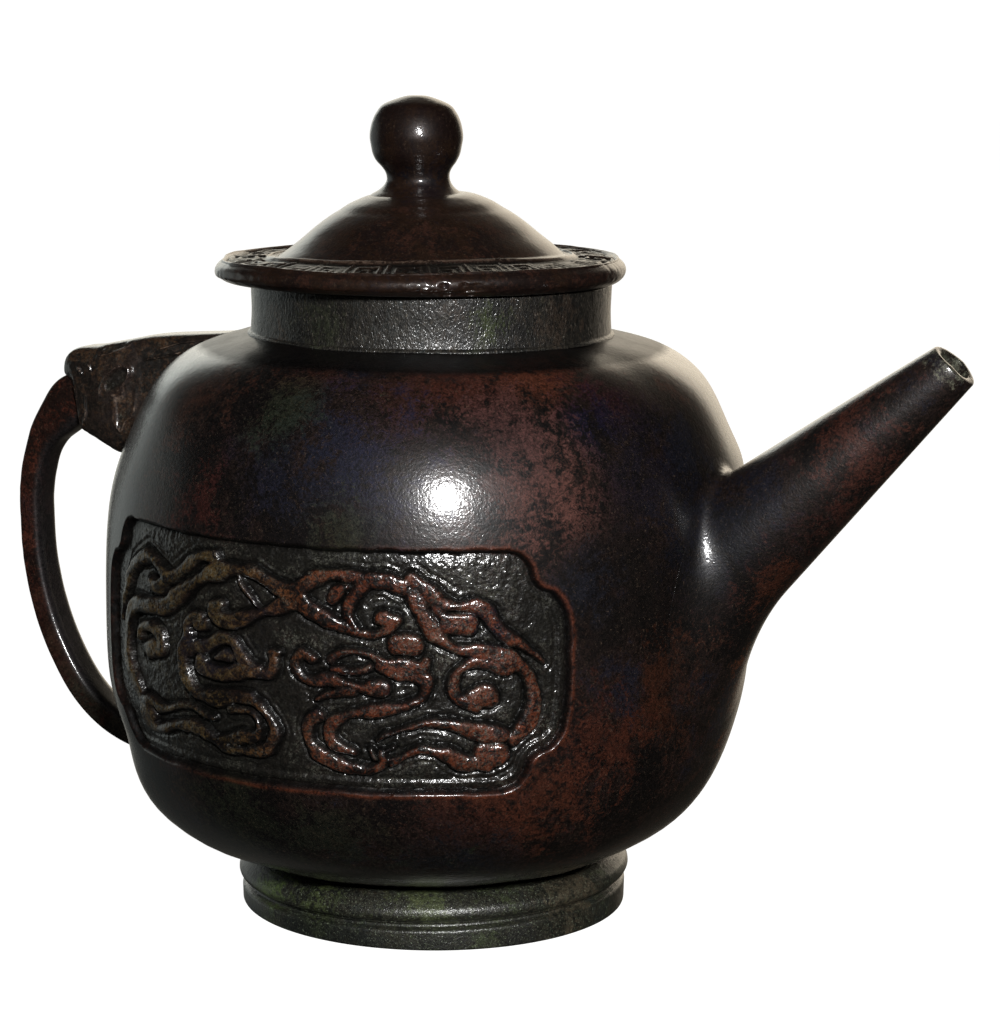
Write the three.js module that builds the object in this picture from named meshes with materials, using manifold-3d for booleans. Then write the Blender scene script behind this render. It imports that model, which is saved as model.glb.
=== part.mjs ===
// A lidded bronze ewer: round body on a foot ring, short neck, loose lid with a ball finial, a straight
// spout, and a strap handle that comes out of a beast's mouth.
// Millimetres, +Z up. The foot stands on z = 0 and the spout points along +X.
import * as THREE from 'three';
import { mergeVertices } from 'three/addons/utils/BufferGeometryUtils.js';
import Module from 'manifold-3d';

const wasm = await Module();
wasm.setup();

// Driving dimensions
const degree = Math.PI / 180;
const gap = 0.3; // solder gap between curved pieces
const roundSteps = 36; // facets round the large turned pieces
const smallSteps = 20; // facets round the small turned pieces

// Body: a full round jar whose curve is two super-ellipses that meet at its widest height
const bodyRadius = 64;
const widestZ = 62;
const shoulder = { across: 4.4, along: 3.07 }; // powers of the upper curve
const belly = { across: 3.23, along: 3.09 }; // powers of the lower curve
const bodyWall = 2.6;
const neckSeatZ = 116;
const neckLedge = 0.3; // the shoulder ends this far outside the neck
const footLedge = 3.8; // the belly ends this far inside the foot's top edge
const baseLip = 4; // width of the body's underside round the base plate
const curveSteps = 8; // rings in each half of the body's curve

// Foot ring and the base plate that closes the body from below
const footHeight = 11;
const footRadius = 38.9;
const footBandHeight = 3.9;
const footGroove = { depth: 1.4, height: 1.3 };
const footMouldingBulge = 0.8;
const footCove = 2.6; // how far the foot's shoulder draws in under the body
const footWall = 5;
const footFlange = { seat: 2.5, thickness: 3 }; // the ring's top turns in under the base plate
const footSlip = [1.7, 0.8]; // the hand-fitted ring sits a little off the body's axis
const plateThickness = 2.4;
const plateClearance = 0.3;

// Neck collar
const neckBore = 33;
const neckWall = 2.8;
const neckHeight = 9.8;
const neckBead = { height: 1, proud: 0.35 };
const neckSlip = [0.7, 0.3];

// Lid: a turned cover with a rounded rim, a flat fret band and a low dome
const rimOverhang = 5; // past the neck
const rimThickness = 4.3;
const rimRound = 1.9;
const bandWidth = 11.8;
const bandRise = 1;
const domeRise = 13; // from the top of the rim to the finial's seat
// The dome's section from its foot to its crown: share of the way in, share of the way up
const domeCurve = [[0.13, 0.07], [0.28, 0.27], [0.42, 0.47], [0.57, 0.65], [0.79, 0.87], [1, 1]];
const crownSpare = 0.3; // flat crown outside the finial's foot
const lidWall = 2.4;
const lidSlip = [-1.3, -0.6]; // the loose lid lies a little off centre in the mouth

// Flange under the lid that keeps it in the mouth
const flangePlay = 2.8; // inside the neck's bore
const flangeWall = 2;
const flangeDepth = 5.5;

// Finial, its tenon through the crown and the washer it is riveted over
const stemRadius = 6.3;
const stemHeight = 3;
const stemFoot = { spread: 1.2, rise: 1, flare: 0.4 };
const stemWaist = 2.3; // height of the stem's thinnest place above the lid
const ballRadius = 9.1;
const ballHeight = 16;
const ballArc = { from: -46, to: 85, step: 16 }; // degrees up from the ball's equator
const tenonRadius = 2.8;
const tenonClearance = 0.3;
const washer = { radius: 6.2, thickness: 1.2 };
const rivetHeight = 1.1; // what the tenon stands below the washer
const finialSlip = [-0.8, -0.4]; // against the lid's own axis

// Spout: a straight hollow cone that flares where it joins the body
const spoutTip = { out: 43.5, up: 52.9 }; // from the body's widest ring
const spoutPitch = 41.7; // degrees above level
const spoutTipRadius = 4.9;
const spoutTaper = 0.147; // radius gained for each millimetre back from the tip
const spoutWall = 1.8;
const spoutLength = 70; // length of the blank before it is cut to the body's curve
const flare = { start: 44, spread: 5, rings: 5 }; // it widens as a square law from here to the root
const mouthTilt = 10; // the mouth is filed this much flatter than square to the bore
const spoutHoleRadius = 10;
const cutterSize = 60; // any block larger than what it trims

// Handle bow: a flat strap that swells to fill the beast's mouth and thickens again at its lower root. Each
// place on the middle of its thickness has its share of the strap's thickness. Places on the handle are out
// from the body's widest radius and up from the neck's seat.
const strapThickness = 4.2;
const strapWidth = 8;
const strapBevel = 0.9;
const bowLine = [
  [13.2, -18.4, 2.48], [16.8, -19.8, 2.48], [20.2, -22.3, 2.1], [22.9, -25.8, 1.64], [24.9, -29.8, 1.31],
  [26.2, -34.1, 1.12], [26.85, -38.7, 1.02], [26.9, -43, 1], [26.3, -53, 1], [24.1, -63, 1.02],
  [20.2, -72.5, 1.07], [14.9, -80.7, 1.14], [8, -86.4, 1.24], [0, -89.4, 1.33], [-10, -90.2, 1.38],
];
const bowSteps = 32;

// Beast head: side outline and half-widths from mane to snout
const headOutline = [
  [-26, -1.4], [-13, -2.9], [-4, -4], [4, -5.4], [9, -6.9], [13.6, -7.8], [16.4, -10], [17.4, -12.2],
  [17, -14.1], [14, -15], [12.5, -17.5], [12, -20.5], [12.6, -24], [11.7, -25], [2, -29.2], [-14, -32],
];
const headPlan = [[-28, 2.5], [-18, 6], [-6, 8], [3, 8.8], [9, 8.2], [14, 6.8], [18, 5], [20, 4]];

// Relief panels sunk into both sides of the body
const panelHalfAngle = 49.5; // degrees either side of straight out
const panelBelow = 25; // the widest ring
const panelAbove = 21;
const panelNotch = { wide: 6.5, high: 7 }; // the indented corners
const panelDepth = 1.1;

// Sizes that follow from those above
const neckRadius = neckBore + neckWall;
const bodyFootRadius = footRadius - footCove - footLedge;
const baseHoleRadius = bodyFootRadius - baseLip;
const flangeRadius = neckBore - flangePlay;
const rimRadius = neckRadius + rimOverhang;
const bandInnerRadius = rimRadius - bandWidth;
const stemFootRadius = stemRadius + stemFoot.spread;
const finialSeatRadius = stemFootRadius + crownSpare;
shoulder.reach = curveReach(neckSeatZ - widestZ, neckRadius + neckLedge, shoulder);
belly.reach = curveReach(widestZ - footHeight, bodyFootRadius, belly);

// Materials
const bronze = { body: '#2a211d', dark: '#1d1918', green: '#2c2d22', brown: '#3a2620' };

// Turns a closed section, given as [radius, height] pairs that run anticlockwise.
function turned(profile, steps = roundSteps) {
  const points = profile.map(([radius, height]) => new THREE.Vector2(radius, height));
  points.push(points[0].clone());
  return new THREE.LatheGeometry(points, steps).rotateX(Math.PI / 2);
}

function toSolid(geometry) {
  const bare = geometry.clone();
  bare.deleteAttribute('normal');
  bare.deleteAttribute('uv');
  const merged = mergeVertices(bare, 1e-4);
  const index = merged.index.array;
  const triangles = [];
  for (let i = 0; i < index.length; i += 3) {
    const [a, b, c] = [index[i], index[i + 1], index[i + 2]];
    if (a !== b && b !== c && c !== a) triangles.push(a, b, c);
  }
  const vertProperties = Float32Array.from(merged.attributes.position.array);
  const triVerts = Uint32Array.from(triangles);
  return new wasm.Manifold(new wasm.Mesh({ numProp: 3, vertProperties, triVerts }));
}

function toGeometry(solid) {
  const mesh = solid.getMesh();
  const geometry = new THREE.BufferGeometry();
  geometry.setAttribute('position', new THREE.Float32BufferAttribute(mesh.vertProperties, 3));
  geometry.setIndex(Array.from(mesh.triVerts));
  geometry.computeVertexNormals();
  return geometry;
}

// How far a curve runs from the widest ring, so that it has a given radius after a given rise.
function curveReach(rise, radius, { across, along }) {
  return rise / (1 - (radius / bodyRadius) ** across) ** (1 / along);
}

// A place out from the body's widest radius and up from the neck's seat, as x and z on the handle's side.
function besideBody([out, up]) {
  return [-(bodyRadius + out), neckSeatZ + up];
}

// Outer radius of the body at a height; inset moves the curve inwards for a wall or outwards for a gap.
function bodyCurve(z, inset = 0) {
  const half = z > widestZ ? shoulder : belly;
  const share = Math.min(1, Math.abs(z - widestZ) / (half.reach - inset));
  return (bodyRadius - inset) * (1 - share ** half.along) ** (1 / half.across);
}

// Points on that curve between two heights, closer together towards its ends.
function bodyPoints(fromZ, toZ, inset = 0) {
  const low = Math.asin(Math.max(-1, (fromZ - widestZ) / (belly.reach - inset)));
  const high = Math.asin(Math.min(1, (toZ - widestZ) / (shoulder.reach - inset)));
  const points = [];
  for (let i = -curveSteps; i <= curveSteps; i += 1) {
    const turn = (i < 0 ? -low : high) * (i / curveSteps);
    const reach = (i < 0 ? belly.reach : shoulder.reach) - inset;
    const z = widestZ + reach * Math.sin(turn);
    points.push([bodyCurve(z, inset), z]);
  }
  return points;
}

// Height at which the body's inner curve has a given radius, above or below the widest height.
function innerHeight(radius, half) {
  const share = (1 - (radius / (bodyRadius - bodyWall)) ** half.across) ** (1 / half.along);
  const side = half === shoulder ? 1 : -1;
  return widestZ + side * share * (half.reach - bodyWall);
}

// The body as one full lump, used to trim what is soldered to it.
function bodyLump(inset) {
  const bottom = Math.max(footHeight, widestZ - belly.reach) + inset;
  const top = Math.min(neckSeatZ, widestZ + shoulder.reach - inset);
  return toSolid(turned([[0, bottom], ...bodyPoints(bottom, top, inset), [0, top]]));
}

// A flat outline on the XZ plane, given as [x, z] pairs, made into a slab centred on y = 0.
function slab(outline, width, bevel = 0) {
  const shape = new THREE.Shape(outline.map(([x, z]) => new THREE.Vector2(x, z)));
  const depth = width - 2 * bevel;
  const settings = { depth, steps: 1, bevelEnabled: bevel > 0, bevelThickness: bevel, bevelSize: bevel,
    bevelOffset: -bevel, bevelSegments: 1 };
  return new THREE.ExtrudeGeometry(shape, settings).translate(0, 0, -depth / 2).rotateX(Math.PI / 2);
}

// Cutter for the sunken ground on one side: a rectangle with indented corners, less the deeper core.
function panelCutter(side) {
  const halfWidth = bodyRadius * Math.sin(panelHalfAngle * degree);
  const inner = halfWidth - panelNotch.wide;
  const [low, high] = [widestZ - panelBelow, widestZ + panelAbove];
  const right = [
    [inner, low], [inner, low + panelNotch.high], [halfWidth, low + panelNotch.high],
    [halfWidth, high - panelNotch.high], [inner, high - panelNotch.high], [inner, high],
  ];
  const outline = [...right, ...right.map(([x, z]) => [-x, z]).reverse()];
  const block = toSolid(slab(outline, bodyRadius)).translate([0, side * bodyRadius, 0]);
  return block.subtract(bodyLump(panelDepth));
}

// Spout blank about its own axis, with its tip at height 0; reachPast lengthens it at both ends.
function spoutBlank(inset, reachPast = 0) {
  const stations = [];
  for (let ring = flare.rings; ring >= 0; ring -= 1) {
    const share = ring / flare.rings;
    const back = flare.start + share * (spoutLength - flare.start);
    stations.push([spoutTipRadius + spoutTaper * back + flare.spread * share ** 2 - inset, -back]);
  }
  const rootRadius = stations[0][0];
  const tipRadius = spoutTipRadius - inset;
  const root = [[0, -spoutLength - reachPast], [rootRadius, -spoutLength - reachPast]];
  const tip = [[tipRadius, 0], [tipRadius, reachPast], [0, reachPast]];
  return toSolid(turned([...root, ...stations, ...tip], smallSteps));
}

function placeOnSpout(solid) {
  const tip = [bodyRadius + spoutTip.out, 0, widestZ + spoutTip.up];
  return solid.rotate([0, 90 - spoutPitch, 0]).translate(tip);
}

function bodyShell() {
  const outer = bodyPoints(footHeight, neckSeatZ);
  const lowInnerZ = footHeight + bodyWall;
  const highInnerZ = innerHeight(neckBore, shoulder);
  const inner = bodyPoints(lowInnerZ, highInnerZ, bodyWall).reverse();
  const bottom = [[baseHoleRadius, lowInnerZ], [baseHoleRadius, footHeight]];
  const profile = [...outer, [neckBore, neckSeatZ], ...inner, ...bottom];
  const hole = placeOnSpout(toSolid(turned([
    [0, -2 * spoutLength], [spoutHoleRadius, -2 * spoutLength], [spoutHoleRadius, 0], [0, 0],
  ], smallSteps)).translate([0, 0, -spoutLength / 2]));
  return toSolid(turned(profile)).subtract(hole).subtract(panelCutter(1)).subtract(panelCutter(-1));
}

function footRing() {
  const grooveTop = footBandHeight + footGroove.height;
  const mouldingMid = (grooveTop + footHeight) / 2;
  const mouldingTop = (mouldingMid + footHeight) / 2;
  const inner = footRadius - footWall;
  const flangeBore = baseHoleRadius - footFlange.seat;
  const flangeUnderZ = footHeight - footFlange.thickness;
  return turned([
    [inner, 0], [footRadius, 0], [footRadius, footBandHeight],
    [footRadius - footGroove.depth, footBandHeight], [footRadius - footGroove.depth, grooveTop],
    [footRadius + footMouldingBulge / 2, grooveTop + footGroove.height],
    [footRadius + footMouldingBulge, mouldingMid],
    [footRadius - footGroove.depth / 2, mouldingTop], [footRadius - footCove, footHeight],
    [flangeBore, footHeight], [flangeBore, flangeUnderZ],
    [inner, flangeUnderZ - footFlange.thickness / 2],
  ]);
}

function basePlate() {
  const radius = baseHoleRadius - plateClearance;
  const top = footHeight + plateThickness;
  return turned([[0, footHeight], [radius, footHeight], [radius, top], [0, top]]);
}

function neckCollar() {
  const top = neckSeatZ + neckHeight;
  const beadTop = neckSeatZ + neckBead.height;
  return turned([
    [neckBore, neckSeatZ], [neckRadius, neckSeatZ],
    [neckRadius + neckBead.proud, neckSeatZ + neckBead.height / 2], [neckRadius, beadTop],
    [neckRadius, top], [neckBore, top],
  ]);
}

const rimBottomZ = neckSeatZ + neckHeight;
const rimTopZ = rimBottomZ + rimThickness;
const finialSeatZ = rimTopZ + domeRise;
const crownUnderZ = finialSeatZ - lidWall;

// Lid section: underside, round rim, fret band, dome, crown, then back down the inside of the dome.
function lidCover() {
  const domeStartZ = rimTopZ + bandRise;
  const domeWidth = bandInnerRadius - finialSeatRadius;
  const domeHeight = finialSeatZ - domeStartZ;
  const dome = domeCurve.map(([across, up]) => (
    [bandInnerRadius - across * domeWidth, domeStartZ + up * domeHeight]));
  const slope = Math.atan2(domeHeight, domeWidth);
  const [wallIn, wallDown] = [lidWall * Math.sin(slope), lidWall * Math.cos(slope)];
  const inside = dome.slice(0, -2).map(([radius, z]) => [radius - wallIn, z - wallDown]).reverse();
  const chamfer = rimRound * (1 - Math.SQRT1_2);
  const profile = [
    [flangeRadius - flangeWall, rimBottomZ], [rimRadius - rimRound, rimBottomZ],
    [rimRadius - chamfer, rimBottomZ + chamfer], [rimRadius, rimBottomZ + rimRound],
    [rimRadius, rimTopZ - rimRound], [rimRadius - chamfer, rimTopZ - chamfer],
    [rimRadius - rimRound, rimTopZ], [bandInnerRadius, domeStartZ], ...dome,
    [0, finialSeatZ], [0, crownUnderZ], [finialSeatRadius, crownUnderZ], ...inside,
    [flangeRadius - flangeWall, rimBottomZ + lidWall],
  ];
  const bore = toSolid(turned([
    [0, rimBottomZ], [tenonRadius + tenonClearance, rimBottomZ],
    [tenonRadius + tenonClearance, finialSeatZ + lidWall], [0, finialSeatZ + lidWall],
  ], smallSteps));
  return toSolid(turned(profile)).subtract(bore.translate([...finialSlip, 0]));
}

function lidFlange() {
  const inner = flangeRadius - flangeWall;
  const low = rimBottomZ - flangeDepth;
  return turned([[inner, low], [flangeRadius, low], [flangeRadius, rimBottomZ], [inner, rimBottomZ]]);
}

function finial() {
  const ballMidZ = finialSeatZ + stemHeight + ballHeight / 2;
  const ball = [];
  for (let turn = ballArc.from; turn < ballArc.to; turn += ballArc.step) {
    const [across, up] = [Math.cos(turn * degree), Math.sin(turn * degree)];
    ball.push([ballRadius * across, ballMidZ + (ballHeight / 2) * up]);
  }
  const tenonEndZ = crownUnderZ - washer.thickness - rivetHeight;
  return turned([
    [0, tenonEndZ], [tenonRadius, tenonEndZ], [tenonRadius, finialSeatZ], [stemFootRadius, finialSeatZ],
    [stemRadius + stemFoot.flare, finialSeatZ + stemFoot.rise], [stemRadius, finialSeatZ + stemWaist],
    ...ball, [0, ballMidZ + ballHeight / 2],
  ], smallSteps);
}

function finialWasher() {
  const inner = tenonRadius + tenonClearance;
  const outer = washer.radius;
  const low = crownUnderZ - washer.thickness;
  return turned([[inner, low], [outer, low], [outer, crownUnderZ], [inner, crownUnderZ]], smallSteps);
}

function spout() {
  const blank = spoutBlank(0);
  const bore = spoutBlank(spoutWall, spoutTipRadius);
  const mouthBlock = toSolid(new THREE.BoxGeometry(cutterSize, cutterSize, cutterSize))
    .translate([0, 0, cutterSize / 2]).rotate([0, -mouthTilt, 0]);
  return placeOnSpout(blank.subtract(bore).subtract(mouthBlock)).subtract(bodyLump(-gap));
}

// The strap's side outline: its middle line thickened both ways. Spare is added all round for a socket.
function bowOutline(spare = 0) {
  const places = bowLine.map(([out, up, share]) => new THREE.Vector3(...besideBody([out, up]), share));
  const line = new THREE.CatmullRomCurve3(places, false, 'catmullrom');
  const outside = [];
  const inside = [];
  for (let i = 0; i <= bowSteps; i += 1) {
    const { x: alongX, y: alongZ } = line.getTangent(i / bowSteps);
    const tangent = new THREE.Vector2(alongX, alongZ).normalize();
    const { x, y: z, z: share } = line.getPoint(i / bowSteps);
    const point = new THREE.Vector2(x, z);
    const half = (share * strapThickness) / 2 + spare;
    if (i === 0) point.addScaledVector(tangent, -spare);
    outside.push([point.x + half * tangent.y, point.y - half * tangent.x]);
    inside.unshift([point.x - half * tangent.y, point.y + half * tangent.x]);
  }
  return [...outside, ...inside];
}

function handleBow() {
  return toSolid(slab(bowOutline(), strapWidth, strapBevel)).subtract(bodyLump(-gap));
}

function beastHead() {
  const plan = [...headPlan, ...headPlan.map(([out, y]) => [out, -y]).reverse()];
  const planShape = new THREE.Shape(plan.map(([out, y]) => new THREE.Vector2(-(bodyRadius + out), y)));
  const upright = { depth: neckSeatZ, bevelEnabled: false };
  const planBlock = toSolid(new THREE.ExtrudeGeometry(planShape, upright));
  const side = toSolid(slab(headOutline.map(besideBody), cutterSize));
  const socket = toSolid(slab(bowOutline(gap), strapWidth + 2 * gap));
  const head = side.intersect(planBlock).subtract(bodyLump(-gap)).subtract(socket);
  return head.decompose().reduce((largest, part) => (part.volume() > largest.volume() ? part : largest));
}

function piece(name, form, color, roughness, slip = [0, 0]) {
  const geometry = form.isBufferGeometry ? form : toGeometry(form);
  const material = new THREE.MeshStandardMaterial({ color, roughness, metalness: 1 });
  const mesh = new THREE.Mesh(geometry, material);
  mesh.name = name;
  mesh.position.set(slip[0], slip[1], 0);
  return mesh;
}

const vessel = new THREE.Group();
vessel.add(
  piece('body_shell', bodyShell(), bronze.body, 0.42),
  piece('foot_ring', footRing(), bronze.green, 0.55, footSlip),
  piece('base_plate', basePlate(), bronze.dark, 0.6),
  piece('neck_collar', neckCollar(), bronze.green, 0.5, neckSlip),
  piece('spout', spout(), bronze.brown, 0.38),
  piece('handle_bow', handleBow(), bronze.brown, 0.4),
  piece('handle_beast_head', beastHead(), bronze.dark, 0.5),
);

const lid = new THREE.Group();
lid.position.set(lidSlip[0], lidSlip[1], 0);
lid.add(
  piece('lid_cover', lidCover(), bronze.dark, 0.4),
  piece('lid_flange', lidFlange(), bronze.dark, 0.6),
  piece('finial', finial(), bronze.brown, 0.3, finialSlip),
  piece('finial_washer', finialWasher(), bronze.dark, 0.6, finialSlip),
);

const ewer = new THREE.Group();
ewer.add(vessel, lid);

// The origin is the middle of the whole outline on the table; the pot's axis lies towards the handle.
const outline = new THREE.Box3().setFromObject(ewer);
const middle = outline.getCenter(new THREE.Vector3());
ewer.position.set(-middle.x, -middle.y, 0);
ewer.updateMatrixWorld(true);
console.log('pot axis at x', (-middle.x).toFixed(3), 'y', (-middle.y).toFixed(3));
const size = outline.getSize(new THREE.Vector3());
console.log('length', size.x.toFixed(2), 'width', size.y.toFixed(2), 'height', size.z.toFixed(2));

export default ewer;
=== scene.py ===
"""A lidded bronze ewer with sunken relief panels, a straight spout and a beast-head strap handle."""
import logging
import math
from dataclasses import dataclass, field, replace
from enum import Enum
from typing import Iterable, Sequence

import bpy
import numpy as np
from mathutils import Matrix, Vector


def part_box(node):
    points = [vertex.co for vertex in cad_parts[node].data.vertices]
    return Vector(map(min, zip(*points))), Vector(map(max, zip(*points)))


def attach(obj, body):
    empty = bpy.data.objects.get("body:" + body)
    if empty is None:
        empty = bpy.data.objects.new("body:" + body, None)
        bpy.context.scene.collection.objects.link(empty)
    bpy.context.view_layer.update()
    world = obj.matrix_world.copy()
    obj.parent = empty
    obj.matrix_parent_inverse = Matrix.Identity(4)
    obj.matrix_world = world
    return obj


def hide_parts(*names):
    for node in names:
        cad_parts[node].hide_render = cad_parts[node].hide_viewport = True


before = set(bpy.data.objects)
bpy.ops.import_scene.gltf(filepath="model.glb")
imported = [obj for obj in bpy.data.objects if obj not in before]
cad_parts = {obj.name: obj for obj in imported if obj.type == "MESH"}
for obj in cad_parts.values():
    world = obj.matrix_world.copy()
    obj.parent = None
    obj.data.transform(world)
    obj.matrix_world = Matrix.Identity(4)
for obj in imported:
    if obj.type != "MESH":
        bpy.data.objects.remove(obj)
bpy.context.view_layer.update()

LOG = logging.getLogger("ewer")
MM = 0.001
DEG = math.pi / 180
UP = Vector((0, 0, 1))

Pair = tuple[float, float]
Point = tuple[float, float, float]
Thing = bpy.types.Object
Material = bpy.types.Material
Tree = bpy.types.NodeTree
Socket = bpy.types.NodeSocket


class Body(Enum):
    """The two bodies of the frame that pieces ride on."""

    VESSEL = "vessel"
    LID = "lid"


class Slot(Enum):
    """Material slots of the record."""

    BODY = "body_bronze"
    GREEN = "green_bronze"
    HANDLED = "handled_bronze"
    HEAD = "head_bronze"
    LID = "lid_bronze"
    INNER = "inner_bronze"


# Shared helpers

def middle(node: str) -> Vector:
    """Returns the middle of a node's box on the table plane, in millimetres."""
    low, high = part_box(node)
    return Vector(((low[0] + high[0]) / 2, (low[1] + high[1]) / 2, 0)) / MM


def height_of(node: str) -> Pair:
    """Returns a node's lowest and highest z, in millimetres."""
    low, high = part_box(node)
    return low[2] / MM, high[2] / MM


POT_AXIS = middle("body_shell")
# The camera stands this many degrees round from the front panel's middle, towards the handle.
VIEW_TURN = 24.5
VIEW_RIGHT = Vector((math.cos(VIEW_TURN * DEG), math.sin(VIEW_TURN * DEG), 0))


def smoothstep(low: float, high: float, value: np.ndarray) -> np.ndarray:
    """Returns 0 below low, 1 above high and a smooth blend between."""
    share = np.clip((value - low) / (high - low), 0, 1)
    return share * share * (3 - 2 * share)


def catmull(points: np.ndarray, per_span: int) -> np.ndarray:
    """Draws a smooth curve through points.

    Args:
        points: The control points, one per row, of any width.
        per_span: Samples between neighbouring points.

    Returns:
        The samples, one per row.
    """
    padded = np.vstack([2 * points[0] - points[1], points, 2 * points[-1] - points[-2]])
    out = []
    for i in range(1, len(padded) - 2):
        before, start, end, after = padded[i - 1], padded[i], padded[i + 1], padded[i + 2]
        square, cube = 2 * before - 5 * start + 4 * end - after, 3 * start - before - 3 * end + after
        for t in np.linspace(0, 1, per_span, endpoint=False):
            out.append(0.5 * (2 * start + (end - before) * t + square * t ** 2 + cube * t ** 3))
    out.append(padded[-2])
    return np.array(out)


def wobble(x: np.ndarray, y: np.ndarray, z: np.ndarray, length: float, seed: int) -> np.ndarray:
    """Makes smooth fixed noise.

    Args:
        x, y, z: Places, in millimetres.
        length: Rough distance between bumps, in millimetres.
        seed: Chooses the pattern.

    Returns:
        A value between about -1 and 1 for each place.
    """
    rng = np.random.default_rng(seed)
    total = np.zeros_like(x, dtype=float)
    waves = 9
    for _ in range(waves):
        way = rng.normal(size=3)
        way *= rng.uniform(0.6, 1.5) * 2 * math.pi / length / np.linalg.norm(way)
        total += np.sin(way[0] * x + way[1] * y + way[2] * z + rng.uniform(0, 2 * math.pi))
    return total / math.sqrt(waves)


def speckle(u: np.ndarray, v: np.ndarray, size: float, seed: int) -> np.ndarray:
    """Makes fixed bumps over a flat pattern of places.

    Args:
        u, v: Places, in millimetres.
        size: How far a bump reaches, in millimetres.
        seed: Chooses the pattern.

    Returns:
        A value from 0 to 1 for each place.
    """
    cells = 256
    table = np.random.default_rng(seed).random((cells, cells))
    a, b = u / size, v / size
    i, j = np.floor(a).astype(int), np.floor(b).astype(int)
    s, t = smoothstep(0, 1, a - i), smoothstep(0, 1, b - j)
    i, j, i_next, j_next = i % cells, j % cells, (i + 1) % cells, (j + 1) % cells
    near, far = table[i, j], table[i_next, j]
    near_up, far_up = table[i, j_next], table[i_next, j_next]
    return (near * (1 - s) + far * s) * (1 - t) + (near_up * (1 - s) + far_up * s) * t


def activate(obj: Thing) -> None:
    """Makes obj the only selected object and the active one."""
    bpy.ops.object.select_all(action="DESELECT")
    obj.select_set(True)
    bpy.context.view_layer.objects.active = obj


def finish_mesh(obj: Thing, angle: float = 40) -> None:
    """Merges double points, turns faces outwards and shades smooth.

    Args:
        obj: The piece.
        angle: Edges sharper than this stay creases, in degrees.
    """
    activate(obj)
    bpy.ops.object.mode_set(mode="EDIT")
    bpy.ops.mesh.select_all(action="SELECT")
    bpy.ops.mesh.remove_doubles(threshold=1e-7)
    bpy.ops.mesh.normals_make_consistent(inside=False)
    bpy.ops.object.mode_set(mode="OBJECT")
    bpy.ops.object.shade_smooth_by_angle(angle=angle * DEG)


def new_object(name: str, points: Iterable, edges: Sequence = (), faces: Sequence = ()) -> Thing:
    """Makes a mesh piece and links it to the scene.

    Args:
        name: The piece's name.
        points: Its points, in metres.
        edges, faces: Their point numbers.

    Returns:
        The new piece.
    """
    mesh = bpy.data.meshes.new(name)
    mesh.from_pydata([tuple(p) for p in points], list(edges), list(faces))
    obj = bpy.data.objects.new(name, mesh)
    bpy.context.scene.collection.objects.link(obj)
    return obj


def rounded(corners: Sequence[Point], steps: int = 5) -> list[Pair]:
    """Rounds the corners of a section.

    Args:
        corners: Each corner as radius, height and the reach of its fillet, in millimetres.
        steps: Points on each arc.

    Returns:
        The section's points as radius and height.
    """
    most = 0.48
    section: list[Pair] = []
    for i, (r, z, fillet) in enumerate(corners):
        here = Vector((r, z))
        before = Vector(corners[i - 1][:2])
        after = Vector(corners[(i + 1) % len(corners)][:2])
        to_before, to_after = (before - here), (after - here)
        reach = min(fillet, to_before.length * most, to_after.length * most)
        if reach == 0:
            section.append((r, z))
            continue
        start, end = here + to_before.normalized() * reach, here + to_after.normalized() * reach
        for k in range(steps + 1):
            t = k / steps
            point = start * (1 - t) ** 2 + here * 2 * t * (1 - t) + end * t ** 2
            section.append((point.x, point.y))
    return section


def turned(name: str, section: Sequence[Pair], centre: Vector, steps: int = 192) -> Thing:
    """Spins a closed section about a vertical axis, as on a lathe.

    Args:
        name: The piece's name.
        section: Radius and height pairs, in millimetres.
        centre: Where the axis stands, in millimetres.
        steps: Copies of the section round the axis.

    Returns:
        The finished piece.
    """
    points = [((centre.x + r) * MM, centre.y * MM, z * MM) for r, z in section]
    count = len(points)
    obj = new_object(name, points, [(i, (i + 1) % count) for i in range(count)])
    activate(obj)
    bpy.ops.object.mode_set(mode="EDIT")
    bpy.ops.mesh.select_all(action="SELECT")
    foot_of_axis = (centre.x * MM, centre.y * MM, 0)
    bpy.ops.mesh.spin(steps=steps, angle=2 * math.pi, center=foot_of_axis, axis=(0, 0, 1))
    bpy.ops.object.mode_set(mode="OBJECT")
    finish_mesh(obj)
    return obj


def skin(name: str, grid: np.ndarray, ring: bool, loop: bool, caps: bool = False) -> Thing:
    """Stretches a mesh over a grid of points.

    Args:
        name: The piece's name.
        grid: Points in millimetres, rows by columns by 3.
        ring: Whether the last column joins the first.
        loop: Whether the last row joins the first.
        caps: Whether the first and last rows are closed with a face each.

    Returns:
        The new piece.
    """
    rows, cols = grid.shape[:2]
    faces = []
    for i in range(rows if loop else rows - 1):
        for j in range(cols if ring else cols - 1):
            a, b = i * cols + j, i * cols + (j + 1) % cols
            c, d = ((i + 1) % rows) * cols + (j + 1) % cols, ((i + 1) % rows) * cols + j
            faces.append((a, b, c, d))
    if caps:
        faces.append(tuple(range(cols - 1, -1, -1)))
        faces.append(tuple((rows - 1) * cols + j for j in range(cols)))
    return new_object(name, (grid.reshape(-1, 3) * MM).tolist(), (), faces)


def around(axis: Vector, radius: np.ndarray, angle: np.ndarray, z: np.ndarray) -> np.ndarray:
    """Returns points about an upright axis, with angles in radians from the camera's side of the frame."""
    x, y = axis.x + radius * np.sin(angle), axis.y - radius * np.cos(angle)
    return np.stack(np.broadcast_arrays(x, y, z), -1)


def put_attribute(obj: Thing, name: str, values: np.ndarray) -> None:
    """Stores one number for each point of obj's mesh."""
    layer = obj.data.attributes.new(name, "FLOAT", "POINT")
    layer.data.foreach_set("value", np.asarray(values, dtype=np.float32).ravel())


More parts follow.
